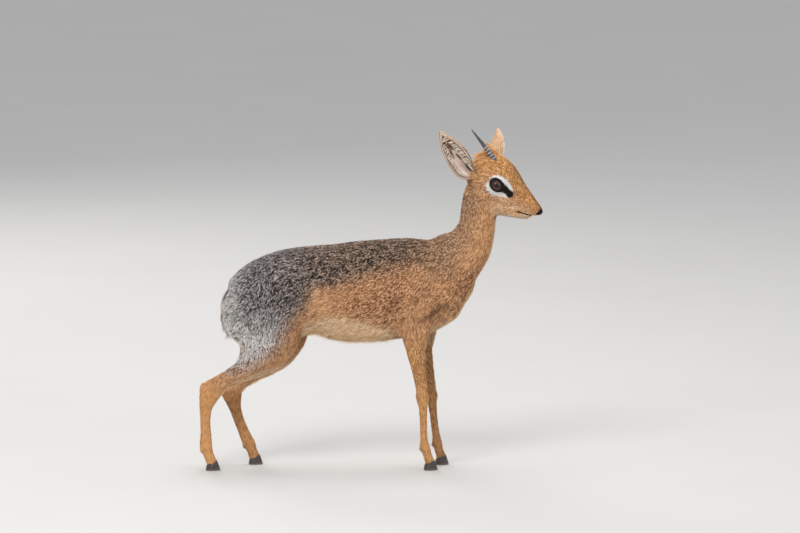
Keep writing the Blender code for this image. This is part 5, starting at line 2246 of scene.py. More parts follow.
@dataclass
class Lids:
    """The black lids round one eye: a margin that hugs the ball, a crease, and lashes."""

    eyes: EyePlaces
    side: Side
    surface: BVHTree
    outside: float = 60
    steps: int = 120
    rings: Rows = (
        (0.94, -0.5), (0.985, 0.1), (1.0, 0.5), (1.03, 0.85), (1.06, 1.05), (1.1, 1.1), (1.14, 1.0),
        (1.18, 0.72), (1.21, 0.5), (1.25, 0.7), (1.3, 0.75), (1.35, 0.55), (1.4, 0.25), (1.46, -0.05),
        (1.54, -0.5), (1.62, -1.1),
    )
    blend_from: float = 1.02
    blend_to: float = 1.38
    lashes: int = 46
    lash_length: float = 5.2
    lash_widths: tuple[float, ...] = (0.28, 0.24, 0.16, 0.02)

    def on_skin(self, angle: float, reach: float) -> float:
        """How far out the uncut skin lies over a place on the opening's plan.

        Args:
            angle: The angle round the opening, 0 towards the nose.
            reach: How far out, 1 being the opening's edge.

        Returns:
            Millimetres from the middle plane.
        """
        ds, dt = self.eyes.ray(np.array(angle), np.array(reach))
        s, _, t = self.eyes.place
        start = (s + ds, self.side * self.outside, t + dt)
        return abs(self.eyes.axes.onto(self.surface, self.side, start)[1])

    def place(self, angle: float, reach: float, lift: float) -> Array:
        """A place on the lid's surface, in the head's axes.

        Args:
            angle: The angle round the opening, 0 towards the nose.
            reach: How far out, 1 being the opening's edge.
            lift: How far it stands off the ball, in millimetres.

        Returns:
            The place.
        """
        ds, dt = self.eyes.ray(np.array(angle), np.array(reach))
        s, side, t = self.eyes.place
        ball = math.sqrt(max((self.eyes.radius + lift) ** 2 - ds * ds - dt * dt, 0.0))
        skin = self.on_skin(angle, reach) + lift
        share = float(ramp(reach, self.blend_from, self.blend_to))
        out = (side + ball) * (1 - share) + skin * share
        return np.array([s + ds, self.side * out, t + dt])

    def lift(self, angle: float, reach: float, lift: float) -> float:
        """The lid's own thickness at an angle: a fold above, a plain roll below.

        Args:
            angle: The angle round the opening, 0 towards the nose.
            reach: How far out, 1 being the opening's edge.
            lift: The ring's own thickness.

        Returns:
            The thickness in millimetres.
        """
        above = 0.5 + 0.5 * math.sin(angle)
        crease = math.exp(-(((reach - 1.21) / 0.045) ** 2))
        folds = 0.12 * math.sin(angle * 23 + reach * 9) * float(ramp(reach, 1.06, 1.3))
        corner = math.exp(-((math.remainder(angle + 0.15, math.tau) / 0.22) ** 2))
        return lift + 0.5 * crease * (1 - above) - 0.25 * crease * above + folds - 0.25 * corner

    def build(self, material: Material, hair: HairMaker) -> None:
        """Makes the ring of lids and its lashes.

        Args:
            material: The material it gets.
            hair: The maker of hair.
        """
        points = []
        for reach, lift in self.rings:
            for k in range(self.steps):
                angle = math.tau * k / self.steps
                points.append(self.place(angle, reach, self.lift(angle, reach, lift)))
        world = self.eyes.axes.world(np.array(points))
        faces = grid_faces(len(self.rings), self.steps, True)
        if self.side is Side.LEFT:
            faces = faces[:, ::-1]
        mesh = mesh_from(f"lids_{self.side.word}", world, [faces])
        wet = np.repeat([float(r < 1.01) for r, _ in self.rings], self.steps)
        paint_points(mesh, "wet", np.stack([wet, wet, wet, np.ones(len(wet))], 1))
        dress(new_object(mesh.name, mesh), material)
        self.add_lashes(hair)

    def add_lashes(self, hair: HairMaker) -> None:
        """Sets curved lashes along the upper lid and short ones below.

        Args:
            hair: The maker of hair.
        """
        draw = default_rng(hair.seed + self.side)
        rows = []
        for k in range(self.lashes):
            upper = k < self.lashes * 0.7
            share = (k + draw.uniform(-0.3, 0.3)) / self.lashes
            angle = math.pi * (0.1 + 1.1 * share) if upper else math.pi * (1.15 + 0.6 * draw.random())
            root = self.place(angle, 1.05, 0.8)
            out = np.array([*self.eyes.ray(np.array(angle), np.array(1.0))])
            out = np.array([out[0], 0, out[1]]) / np.linalg.norm(out)
            side = np.array([0, self.side, 0])
            long = self.lash_length * (1 if upper else 0.55) * draw.uniform(0.7, 1.1)
            sweep = np.array([-0.25, 0, -0.15 if upper else 0])
            heading = unit(side * 0.9 + out * 0.45 + sweep)
            bend = out * 0.5 if upper else out * 0.3
            rows.append([root + heading * long * f + bend * long * f**2 * 0.6 for f in (0, 0.35, 0.7, 1)])
        points = self.eyes.axes.world(np.array(rows))
        strands = Strands.upright(points, self.lash_widths)
        looks = Looks.plain(len(points), draw.random(len(points)), black=1.0)
        places = np.stack([np.linspace(0.1, 0.9, len(points)), np.full(len(points), 0.5)], 1)
        hair.make(f"lashes_{self.side.word}", strands, places, looks)


@dataclass(frozen=True)
class BareSkinFinish:
    """Black bare skin, wet along the lids' margins."""

    skin: tuple = srgb(9, 8, 8)
    worn: tuple = srgb(26, 21, 20)

    def material(self) -> Material:
        """The lids' material.

        Returns:
            The material.
        """
        made, board = new_material("bare_lid_skin")
        fine = board.noise(board.place(), 1500, 3)
        rough = board.sum_of((board.stored("wet")["Fac"], -0.4), offset=0.6)
        colour = board.mix(board.ramp(fine, 0.45, 0.75), self.skin, self.worn)
        board.surface(Base_Color=colour, Roughness=rough, Specular_IOR_Level=0.3)
        board.bump(fine, 0.5, 0.0003)
        return made


@dataclass
class EarHairs:
    """Hairs on an ear: where they stand, their turn from its length, sizes in
    millimetres, and their eight colour masks."""

    u: Array
    v: Array
    outer: Array
    turn: Array
    length: Array | float
    rise: float
    width: float
    marks: Array


@dataclass
class Ear:
    """One cupped ear: two sheets joined at the rim, with ridges and rows of white hair."""

    side: Side
    axis: Rows
    opens: Rows
    shift: Triple
    profile: Rows = (
        (0, 6.5, 2.3, 2.6), (0.08, 10, 2.1, 2.4), (0.18, 14.2, 1.8, 2.1), (0.33, 18.2, 1.35, 1.8),
        (0.48, 19.2, 1.08, 1.6), (0.6, 18.2, 0.95, 1.5), (0.74, 14.2, 0.85, 1.4), (0.84, 10, 0.78, 1.3),
        (0.93, 5.4, 0.7, 1.2), (1, 1, 0.6, 1),
    )
    rows: int = 90
    columns: int = 64
    thin: float = 0.62
    ridges: tuple[float, ...] = (-0.3, 0.05, 0.38)
    hair_seed: int = 5
    back_count: int = 13000
    combs: int = 15
    comb_count: int = 46
    lining_count: int = 6500
    fringe_count: int = 2600

    def station(self, u: Array) -> tuple[Array, Array, Array, Array, Array]:
        """The ear's frame at places along it.

        Args:
            u: Places from 0 at the root to 1 at the tip.

        Returns:
            The middle of the back, the directions along, across and out of the opening, and
            the rows of half width, curl and thickness.
        """
        a, b, c = (np.array(p, float) * MM + np.array(self.shift) for p in self.axis)
        u = np.clip(u, 0, 1)[:, None]
        place = a * (1 - u) ** 2 + b * 2 * u * (1 - u) + c * u**2
        along = unit((b - a) * (1 - u) + (c - b) * u)
        low, high = (np.array(row, float) for row in self.opens)
        opens = low + (high - low) * ramp(u, 0.1, 0.62)
        opens = unit(opens - along * (along * opens).sum(1, keepdims=True))
        table = np.array(self.profile)
        values = np.stack([np.interp(u[:, 0], table[:, 0], table[:, k]) for k in (1, 2, 3)], 1)
        return place, along, np.cross(along, opens), opens, values

    def surface(self, u: Array, v: Array, outer: Array) -> Array:
        """Places on the ear's sheets.

        Args:
            u: Along the ear, 0 to 1.
            v: Across it, -1 to 1.
            outer: 0 on the inner sheet and 1 on the outer one.

        Returns:
            The places.
        """
        place, _, across, opens, values = self.station(u)
        half, curl, thick = values.T
        radius = half * MM / np.where(curl < math.pi / 2, np.sin(curl), 1)
        centre = place + opens * radius[:, None]
        turn = (curl * v)[:, None]
        spoke = across * np.sin(turn) - opens * np.cos(turn)
        depth = thick * (1 - 0.45 * v**4) * MM * self.thin
        sunk = (1 - self.thin) * thick * MM * 0.5
        lift = sunk + depth * outer - self.ridge(u, v) * MM * (1 - outer)
        return centre + spoke * (radius + lift)[:, None]

    def ridge(self, u: Array, v: Array) -> Array:
        """The height of the ridges of gristle inside the ear, in millimetres.

        Args:
            u: Places along the ear, 0 to 1.
            v: Places across it, -1 to 1.

        Returns:
            One height for each place.
        """
        found = np.zeros(len(u))
        for k, at in enumerate(self.ridges):
            bend = at * (1 - 0.35 * u) + 0.03 * np.sin(u * 9 + k)
            line = bell(v - bend, 0.07)
            found += line * ramp(u, 0.08, 0.2) * ramp(u, 0.72, 0.5)
        lobes = bell(v + 0.35, 0.12) + bell(v - 0.3, 0.1)
        return 0.7 * found + 1.6 * lobes * ramp(u, 0.02, 0.08) * ramp(u, 0.24, 0.12)

    def masks(self, u: Array, v: Array, outer: Array) -> Array:
        """Four masks of the ear's colours: pale, brown, dark (with the painted shadow of the ear canal) and
        white.

        Args:
            u: Places along the ear, 0 to 1.
            v: Places across it, -1 to 1.
            outer: 0 on the inner sheet and 1 on the outer one.

        Returns:
            Four columns of shares.
        """
        line = np.abs(v) - 0.7 + 0.03 * np.sin(u * 21)
        line = np.where(u > 0.72, np.hypot(v / 0.7, (u - 0.72) / 0.19) - 1, line)
        contour = bell(line, 0.06) * (1 - ramp(u, 0.93, 0.99))
        front = v * self.front_sign()
        blots = 0.5 * np.sin(u * 29 + front * 7) + 0.5 * np.sin(front * 11 - u * 19 + 1)
        blots = 0.3 + 0.7 * ramp(blots + 0.9 * u, -0.1, 0.5)
        plain = ramp(u, 0.6, 0.36) * ramp(front, 0.2, -0.1)
        centre = ramp(-line, 0.0, 0.12) * (u < 0.9) * blots * (1 - 0.85 * plain)
        low = ramp(u, 0.62, 0.5) * ramp(u, 0.02, 0.1)
        strip = ramp(front, 0.84, 0.88) * low
        centre = np.maximum(centre, strip)
        # Painted shadow: the black slit of the ear canal near the ear's root.
        canal_shadow = ramp(u, 0.27, 0.17) * bell(front - 0.12, 0.1)
        inner = 1 - outer
        white = self.ridge(u, v) * (0.7 + 0.3 * np.sin(v * 40 + u * 30))
        white = np.clip(white, 0, 1) * inner
        white = np.maximum(white, 0.95 * bell(front - 0.79, 0.05) * low)
        white *= 1 - strip
        dark = np.maximum(0.85 * contour, canal_shadow) * inner
        dark = np.maximum(dark, 0.6 * outer * ramp(u, 0.8, 1.0))
        return np.stack([inner * (1 - centre), inner * centre, dark, white], 1)

    def front_sign(self) -> int:
        """Which way across the ear its front rim lies."""
        _, _, across, _, _ = self.station(np.array([0.3]))
        return 1 if across[0, 0] > 0 else -1

    def build(self, material: Material, hair: HairMaker) -> None:
        """Makes the ear in place of the solid one, and its hair.

        Args:
            material: The material it gets.
            hair: The maker of hair.
        """
        along = (np.arange(self.rows + 1) / self.rows) ** 0.92
        across = np.linspace(-1, 1, self.columns + 1)
        u, v = (grid.ravel() for grid in np.meshgrid(along, across, indexing="ij"))
        inner = self.surface(u, v, np.zeros(len(u)))
        outer = self.surface(u, v, np.ones(len(u)))
        sheet = grid_faces(self.rows + 1, self.columns + 1)
        count = len(u)
        rim = self.rim_indices()
        pairs = np.stack([rim, np.roll(rim, -1)], 1)
        band = np.stack([pairs[:, 0], pairs[:, 1], pairs[:, 1] + count, pairs[:, 0] + count], 1)
        faces = [sheet, sheet[:, ::-1] + count, band[:, ::-1]]
        mesh = mesh_from(f"ear_skin_{self.side.word}", np.vstack([inner, outer]), faces)
        flags = np.r_[np.zeros(count), np.ones(count)]
        both_u, both_v = np.r_[u, u], np.r_[v, v]
        paint_points(mesh, "zones", self.masks(both_u, both_v, flags))
        paint_points(mesh, "sheet", np.stack([both_u, both_v, flags, np.ones(len(flags))], 1))
        obj = new_object(mesh.name, mesh)
        turn_outward(obj)
        dress(obj, material)
        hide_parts(f"ear_{self.side.word}")
        self.add_hair(hair)

    def rim_indices(self) -> Array:
        """The inner sheet's vertices round its edge, in order.

        Returns:
            The vertices' numbers.
        """
        wide = self.columns + 1
        first = np.arange(wide)
        right = np.arange(1, self.rows) * wide + self.columns
        last = (self.rows * wide + np.arange(wide))[::-1]
        left = (np.arange(1, self.rows) * wide)[::-1]
        return np.concatenate([first, right, last, left])

    def add_hair(self, hair: HairMaker) -> None:
        """Sets the short coat outside, the white rows inside and the fringe on the rim.

        Args:
            hair: The maker of hair.
        """
        self.draw = default_rng(self.hair_seed + self.side)
        sets = {
            "back": self.back_hairs,
            "inside": self.comb_hairs,
            "lining": self.lining_hairs,
            "fringe": self.fringe_hairs,
        }
        for word, chosen in sets.items():
            self.set_hairs(hair, word, chosen())

    def back_hairs(self) -> EarHairs:
        """The short coat on the outer sheet.

        Returns:
            The hairs.
        """
        count = self.back_count
        u, v = self.draw.random(count) ** 0.85 * 0.985, self.draw.uniform(-1, 1, count)
        grey = ramp(u, 0.45, 0.95)
        marks = np.zeros((count, 8))
        marks[:, 0] = 0.3 * grey
        marks[:, 2] = 0.55
        if self.side is Side.LEFT:
            marks[:, 3] = 0.75 * ramp(v * self.front_sign(), 0.8, 0.95)
        near = 1.0 if self.side is Side.RIGHT else 0.3
        marks[:, 5] = near * ramp(v * self.front_sign(), 0.1, 0.6) * (1 - grey)
        marks[:, 7] = 0.5
        turn = np.where(np.abs(v) > 0.9, 0.5 * np.sign(v), 0.15 * v) + self.draw.normal(0, 0.12, count)
        return EarHairs(u, v, np.ones(count), turn, 3.6, 0.5, 0.26, marks)

    def comb_hairs(self) -> EarHairs:
        """The long white hairs that hang inwards, in combs, from the inner line.

        Returns:
            The hairs.
        """
        combs, each = self.combs, self.comb_count
        count = 2 * combs * each
        side = np.repeat((-1, 1), combs * each)
        middle = np.tile(np.repeat(np.linspace(0.2, 0.86, combs), each), 2)
        middle = middle + np.repeat(self.draw.normal(0, 0.008, 2 * combs), each)
        off = self.draw.normal(0, 0.011, count)
        u = middle + off
        line = np.where(u > 0.72, 0.7 * np.sqrt(np.clip(1 - ((u - 0.72) / 0.19) ** 2, 0, 1)), 0.7)
        v = side * (line - self.draw.exponential(0.05, count))
        marks = np.zeros((count, 8))
        marks[:, 3] = self.draw.uniform(0.7, 1.0, count)
        marks[:, 2] = 1
        comb_turn = np.repeat(self.draw.uniform(0.95, 1.45, 2 * combs), each)
        turn = -side * (comb_turn + off * 22)
        long = np.repeat(self.draw.uniform(5.5, 9.0, 2 * combs), each)
        return EarHairs(u, v, np.zeros(count), turn, long, 1.8, 0.3, marks)

    def lining_hairs(self) -> EarHairs:
        """The fine short hair inside the ear.

        Returns:
            The hairs.
        """
        count = self.lining_count
        u, v = self.draw.uniform(0.06, 0.97, count), self.draw.uniform(-0.98, 0.98, count)
        zones = self.masks(u, v, np.zeros(count))
        marks = np.zeros((count, 8))
        marks[:, 2] = zones[:, 0]
        marks[:, 3] = np.clip(0.55 * zones[:, 0] + zones[:, 3], 0, 1)
        marks[:, 5] = zones[:, 1] * (1 - zones[:, 3])
        # Black lining hairs where the dark mask lies, which includes the painted shadow of the ear canal.
        marks[:, 6] = zones[:, 2]
        keep = self.draw.random(count) < 0.35 + 0.6 * zones[:, 0] + 0.5 * zones[:, 3]
        turn = np.where(np.abs(v) > 0.7, 0.25 * np.sign(v), -0.5 * v) + self.draw.normal(0, 0.15, count)
        inner = np.zeros(keep.sum())
        return EarHairs(u[keep], v[keep], inner, turn[keep], 3.0, 0.5, 0.22, marks[keep])

    def fringe_hairs(self) -> EarHairs:
        """The fringe along both rims.

        Returns:
            The hairs.
        """
        count = self.fringe_count
        u = self.draw.uniform(0.03, 0.99, count)
        side = np.where(self.draw.random(count) < 0.5, -1, 1)
        v = side * self.draw.uniform(0.93, 1.0, count)
        marks = np.zeros((count, 8))
        front = side == self.front_sign()
        marks[:, 3] = np.where(front, 0.35, 0.1)
        marks[:, 2] = 1
        marks[:, 5] = np.where(~front | (u < 0.55), 0.85, 0.0)
        turn = side * self.draw.uniform(0.1, 0.7, count)
        return EarHairs(u, v, self.draw.random(count).round(), turn, 3.4, 0.6, 0.22, marks)

    def set_hairs(self, hair: HairMaker, word: str, hairs: EarHairs) -> None:
        """Makes one set of the ear's hairs.

        Args:
            hair: The maker of hair.
            word: What the set is called.
            hairs: Where the hairs stand, and how they look.
        """
        step = 0.01
        u, v, outer = hairs.u, hairs.v, hairs.outer
        root = self.surface(u, v, outer)
        ahead = unit(self.surface(np.minimum(u + step, 1), v, outer) - self.surface(u - step, v, outer))
        sideways = unit(self.surface(u, v + step, outer) - self.surface(u, v - step, outer))
        normal = unit(np.cross(ahead, sideways))
        _, _, _, opens, values = self.station(u)
        facing = np.sign((normal * opens).sum(1)) * np.where(outer > 0.5, -1, 1)
        facing = np.where(values[:, 1] * np.abs(v) > math.pi / 2, -facing, facing)
        normal = normal * facing[:, None]
        turn = hairs.turn[:, None]
        lead = ahead * np.cos(turn) + sideways * np.sin(turn)
        count = len(u)
        long = (np.asarray(hairs.length) * MM * self.draw.uniform(0.65, 1.15, count))[:, None]
        up = (hairs.rise * MM * self.draw.uniform(0.5, 1.2, count))[:, None]
        base = root - normal * 0.15 * MM
        middle = root + lead * long * 0.45 + normal * up * 0.7
        points = np.stack([base, middle, root + lead * long + normal * up], 1)
        across = unit(np.cross(lead, normal))
        roll = self.draw.normal(0, 0.4, count)[:, None]
        across = across * np.cos(roll) + normal * np.sin(roll)
        widths = hairs.width * MM * self.draw.uniform(0.8, 1.2, count)[:, None] * np.array([0.9, 0.8, 0.1])
        strands = Strands(points, np.repeat(across[:, None], 3, 1), widths)
        places = np.stack([0.03 + 0.94 * (v + 1) / 2, 0.03 + 0.94 * np.clip(u, 0, 1)], 1)
        looks = Looks(hairs.marks[:, :4], hairs.marks[:, 4:], self.draw.random(count))
        hair.make(f"ear_{word}_{self.side.word}", strands, places, looks)


@dataclass(frozen=True)
class EarFinish:
    """Thin skin inside the ear, and the short dark coat's ground outside."""

    outside: tuple = srgb(176, 128, 88)
    pale: tuple = srgb(226, 204, 190)
    brown: tuple = srgb(98, 65, 50)
    dark: tuple = srgb(26, 19, 17)
    white: tuple = srgb(238, 230, 222)
    outside_low: tuple = srgb(120, 84, 60)
    pale_low: tuple = srgb(176, 148, 134)
    brown_low: tuple = srgb(62, 40, 32)

    def material(self) -> Material:
        """The ear's material.

        Returns:
            The material.
        """
        made, board = new_material("ear_skin")
        zones = board.stored("zones")
        parts = board.split(zones["Color"])
        fine = board.noise(board.place(), 700, 3)
        outside = board.mix(board.ramp(fine, 0.3, 0.7), self.outside_low, self.outside)
        pale = board.mix(board.ramp(fine, 0.25, 0.75), self.pale_low, self.pale)
        brown = board.mix(board.ramp(fine, 0.3, 0.7), self.brown_low, self.brown)
        colour = board.mix(parts[0], outside, pale)
        colour = board.mix(parts[1], colour, brown)
        colour = board.mix(zones["Alpha"], colour, self.white)
        # The dark mask holds the contour line, the dark tips and the painted shadow of the ear canal.
        colour = board.mix(parts[2], colour, self.dark)
        board.surface(Base_Color=colour, Roughness=0.6)
        board.surface(Subsurface_Weight=0.08, Subsurface_Scale=0.002)
        board.bump(fine, 0.4, 0.0004)
        return made


@dataclass
class Horn:
    """One short spike of a horn with close rings on its lower half."""

    axes: HeadAxes
    side: Side
    base: Triple = (32, 13, 35)
    tip: Triple = (-35.4, 16, 58.4)
    bow: float = 0.8
    profile: Rows = (
        (0, 4.9), (0.25, 4.9), (0.4, 4.3), (0.54, 3.0), (0.7, 2.1), (0.86, 1.3), (1, 0.4),
    )
    rings: int = 13
    ring_root: float = 0.15
    ring_end: float = 0.55
    ring_depth: float = 0.125
    steps: int = 300
    sides: int = 48

    def build(self, material: Material) -> None:
        """Makes the horn in place of the solid one.

        Args:
            material: The material it gets.
        """
        mirror = np.array([1, self.side, 1])
        root, tip = (self.axes.world(np.array(p) * mirror) for p in (self.base, self.tip))
        at = np.linspace(0, 1, self.steps) ** 0.95
        bow = np.outer(at * (1 - at) * 4, [0, 0, self.bow * MM])
        centres = root + np.outer(at, tip - root) + bow
        table = np.array(self.profile)
        radius = np.interp(at, table[:, 0], table[:, 1]) * MM * 0.97
        radius[-1] = 0.12 * MM
        along = unit(np.gradient(centres, axis=0))
        side = unit(np.cross(along, [0, 0, 1.0]))
        up = np.cross(side, along)
        angle = np.arange(self.sides) * math.tau / self.sides
        start = ramp(at, self.ring_root - 0.06, self.ring_root)
        ringed = np.clip((self.ring_end - at) / 0.08, 0, 1) * start
        wave = at[:, None] * self.rings + 0.06 * np.sin(angle[None] * 3 + at[:, None] * 40)
        sharp = np.cos(wave * math.tau)
        sharp = np.sign(sharp) * np.abs(sharp) ** 0.7
        ridge = self.ring_depth * ringed[:, None] * sharp
        groove = 0.012 * np.sin(angle[None] * 17) * ramp(at, 0.3, 0.6)[:, None]
        across = np.cos(angle)[None, :, None] * side[:, None] + np.sin(angle)[None, :, None] * up[:, None]
        points = centres[:, None] + across * (radius[:, None] * (1 + ridge + groove))[:, :, None]
        faces = tube_faces(self.steps, self.sides)
        mesh = mesh_from(f"ringed_horn_{self.side.word}", points.reshape(-1, 3), faces)
        # crest marks the rings' crests, which the horn's material paints paler: partly wear, partly painted
        # highlight.
        crest = np.clip(0.5 + ridge / self.ring_depth / 2, 0, 1) * ringed[:, None]
        tone = np.stack([np.repeat(at, self.sides), crest.ravel()], 1)
        paint_points(mesh, "growth", np.column_stack([tone, tone]))
        obj = new_object(mesh.name, mesh)
        turn_outward(obj)
        dress(obj, material)
        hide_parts(f"horn_{self.side.word}")


@dataclass(frozen=True)
class HornFinish:
    """Dark worn horn, paler on the crests of its rings: partly wear, partly painted highlight."""

    dark: tuple = srgb(30, 27, 28)
    grey: tuple = srgb(92, 88, 90)
    # The pale of the rings' crests: partly wear, partly painted highlight.
    worn: tuple = srgb(156, 150, 146)

    def material(self) -> Material:
        """The horns' material.

        Returns:
            The material.
        """
        made, board = new_material("worn_horn")
        parts = board.split(board.stored("growth")["Color"])
        fine = board.noise(board.place(), 600, 4)
        colour = board.mix(board.ramp(fine, 0.3, 0.7), self.dark, self.grey)
        # Paler crests of the rings: partly wear, partly painted highlight.
        worn = board.math("MULTIPLY", board.ramp(parts[1], 0.55, 0.95), board.ramp(fine, 0.15, 0.5))
        board.surface(Base_Color=board.mix(worn, colour, self.worn), Roughness=0.42)
        board.bump(fine, 0.35, 0.0003)
        return made


@dataclass(frozen=True)
class Foot:
    """Where one foot stands: the heel and toe along X, and the middle of the foot on Y."""

    leg: str
    heel: float
    toe: float
    side: float


@dataclass
class Hoof:
    """One claw of a cloven hoof, with a rounded wall, growth lines and a flat sole."""

    foot: Foot
    way: Side
    shift: Triple
    points: int = 48
    levels: int = 26
    coronet: float = 13.5
    slope: float = 0.42
    back: float = -2
    half: float = 8.3
    top: float = 7.8
    sole: float = 8.8
    cleft: float = 0.5
    pointing: float = 0.28

    def ring(self, level: float) -> Array:
        """One ring of the claw, from the coronet at 0 to the ground at 1.

        Args:
            level: How far down the ring lies.

        Returns:
            The ring's points in the frame.
        """
        middle = (self.foot.heel + self.foot.toe) / 2
        low_half = (self.foot.toe - self.foot.heel) / 2
        centre = middle + self.back * (1 - level)
        half = self.half + (low_half - self.half) * level**0.8
        wide = self.top + (self.sole - self.top) * level
        angle = np.linspace(0, math.pi, self.points)
        x = centre + half * np.cos(angle)
        y = self.cleft + wide * np.sin(angle) ** 0.85 * (1 - self.pointing * level * np.cos(angle))
        y = self.cleft + (y - self.cleft) * (0.985 + 0.015 * math.cos(level * 40))
        z = (self.coronet + self.slope * (x - middle - self.back)) * (1 - level)
        ring = np.stack([x, self.foot.side + self.way * y, z], 1) * MM
        return ring + np.array(self.shift)

    def build(self, material: Material) -> None:
        """Makes the claw in place of the solid one.

        Args:
            material: The material it gets.
        """
        levels = np.linspace(0, 1, self.levels)
        points = np.vstack([self.ring(level) for level in levels])
        name = f"{self.foot.leg}_{self.claw_word()}"
        mesh = mesh_from(f"claw_{name}", points, tube_faces(self.levels, self.points))
        tone = np.repeat(levels, self.points)
        paint_points(mesh, "growth", np.stack([tone] * 4, 1))
        obj = new_object(mesh.name, mesh)
        turn_outward(obj)
        dress(obj, material)
        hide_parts(self.node())

    def claw_word(self) -> str:
        """Whether this is the outer or the inner claw of its foot."""
        return "outer" if self.way * self.foot.side > 0 else "inner"

    def node(self) -> str:
        """The node that the claw takes the place of."""
        return f"hoof_{self.foot.leg}_{self.claw_word()}"


@dataclass(frozen=True)
class HoofFinish:
    """Dark hooves with level growth lines and dusty lower edges."""

    dark: tuple = srgb(36, 31, 29)
    light: tuple = srgb(84, 74, 68)
    dust: tuple = srgb(132, 118, 104)

    def material(self) -> Material:
        """The hooves' material.

        Returns:
            The material.
        """
        made, board = new_material("cloven_hoof")
        growth = board.stored("growth")["Fac"]
        fine = board.noise(board.place(), 500, 4)
        lines = board.math("SINE", board.math("MULTIPLY", growth, 46.0))
        mixed = board.sum_of((fine, 0.7), (lines, 0.12))
        colour = board.mix(board.ramp(mixed, 0.2, 0.6), self.dark, self.light)
        dusty = board.math("MULTIPLY", board.ramp(growth, 0.7, 1.0), 0.5)
        board.surface(Base_Color=board.mix(dusty, colour, self.dust), Roughness=0.5)
        board.bump(board.sum_of((fine, 0.5), (lines, 0.5)), 0.4, 0.0004)
        return made


@dataclass(frozen=True)
class Tuft:
    """One pointed tuft of the crest, in the head's axes, in millimetres."""

    root: Pair
    tip: Triple
    hairs: int
    root_spread: Pair = (4.0, 3.0)
    tip_spread: float = 1.6


@dataclass
class Crest:
    """The tuft of long bright hair on the crown, drawn to a main peak and lesser ones."""

    axes: HeadAxes
    surface: BVHTree
    tufts: tuple[Tuft, ...] = (
        Tuft((17, 0), (-4, 0, 55), 460, (3.5, 4), 1.2),
        Tuft((19, 3), (2, 5, 51.5), 240, (4, 3), 1.8),
        Tuft((20, -3), (5, -4, 50.5), 240, (4, 3), 1.8),
        Tuft((12, -4), (-1, -6, 38), 240, (4, 3), 2.0),
        Tuft((12, 4), (-2, 6, 39), 240, (4, 3), 2.0),
        Tuft((6, 0), (-5, 0, 30), 240, (4, 5), 2.4),
        Tuft((2, -5), (-8, -7, 24), 200, (4, 4), 2.4),
        Tuft((2, 5), (-8, 7, 24), 200, (4, 4), 2.4),
        Tuft((25, 0), (14, 1, 50.5), 260, (4, 5), 2.6),
    )
    crown: float = 42.0
    rise: float = 7.0
    width: float = 0.42
    seed: int = 7

    def build(self, hair: HairMaker) -> str:
        """Makes the crest's hair and returns the piece's name.

        Args:
            hair: The maker of hair.

        Returns:
            The piece's name.
        """
        draw = default_rng(self.seed)
        at = np.array([0, 0.3, 0.6, 0.85, 1.0])[:, None]
        points, tones, places = [], [], []
        for tuft in self.tufts:
            for _ in range(tuft.hairs):
                off = draw.normal(0, 0.55, 2)
                root = self.on_crown(np.array(tuft.root) + off * tuft.root_spread)
                tip = np.array(tuft.tip) + draw.normal(0, tuft.tip_spread * 0.6, 3)
                share = draw.uniform(0.62, 1.0) ** 0.7
                tip = root + (tip - root) * share
                bow = np.array([0.45, 0, 1.0]) * self.rise * draw.uniform(0.5, 1.1) * share
                points.append(root + (tip - root) * at + bow * at * (1 - at))
                tones.append(draw.random())
                places.append((root[0] / 45 + 0.1, root[1] / 30 + 0.5))
        world = self.axes.world(np.array(points))
        lead = unit(world[:, -1] - world[:, 0])
        across = unit(np.cross(lead, draw.normal(0, 1, lead.shape)))
        widths = self.width * MM * draw.uniform(0.7, 1.2, len(world))[:, None]
        widths = widths * np.array([0.8, 1, 0.8, 0.5, 0.05])
        strands = Strands(world, np.repeat(across[:, None], 5, 1), widths)
        looks = Looks.plain(len(world), np.array(tones), bright=1.0, speckle=0.5, pale=0.12)
        hair.make("crest_hair", strands, np.clip(np.array(places), 0.02, 0.98), looks)
        return "crest_hair"

    def on_crown(self, place: Array) -> Array:
        """The place on the crown's skin nearest a place (s, y) in the head's axes.

        Args:
            place: Its s and y.

        Returns:
            The place in the head's axes.
        """
        high = self.axes.world([place[0], place[1], self.crown])
        hit = self.surface.find_nearest(Vector(high))[0]
        return self.axes.local(np.array(hit)) - [0, 0, 0.6]


@dataclass
class Whiskers:
    """A few fine dark whiskers on the muzzle and over the eyes."""

    axes: HeadAxes
    surface: BVHTree
    outside: float = 40
    count: int = 15
    widths: tuple[float, ...] = (0.16, 0.14, 0.1, 0.02)
    run: Pair = (112, 132)
    low: Pair = (-13, -9.5)
    high: Pair = (-7, 3)
    length: Pair = (6, 13)
    fall: Triple = (-0.3, 0, -0.35)
    seed: int = 23

    def build(self, hair: HairMaker) -> None:
        """Makes the whiskers of both sides.

        Args:
            hair: The maker of hair.
        """
        draw = default_rng(self.seed)
        rows = []
        for side in Side:
            for k in range(self.count):
                lower = k % 3 == 0
                s = draw.uniform(*self.run)
                t = draw.uniform(*(self.low if lower else self.high))
                root = self.axes.onto(self.surface, side, (s, side * self.outside, t))
                if root is None:
                    continue
                lead = unit(np.array([0.2, side, -0.5 if lower else -0.15]))
                lead = unit(lead + draw.normal(0, 0.15, 3))
                long = draw.uniform(*self.length)
                fall = np.array(self.fall)
                rows.append([root + lead * long * f + fall * long * f * f for f in (0, 0.4, 0.75, 1)])
        points = self.axes.world(np.array(rows))
        strands = Strands.upright(points, self.widths)
        looks = Looks.plain(len(points), draw.random(len(points)), brown=1.0)
        places = np.stack([np.linspace(0.05, 0.95, len(points)), np.full(len(points), 0.5)], 1)
        hair.make("whiskers", strands, places, looks)


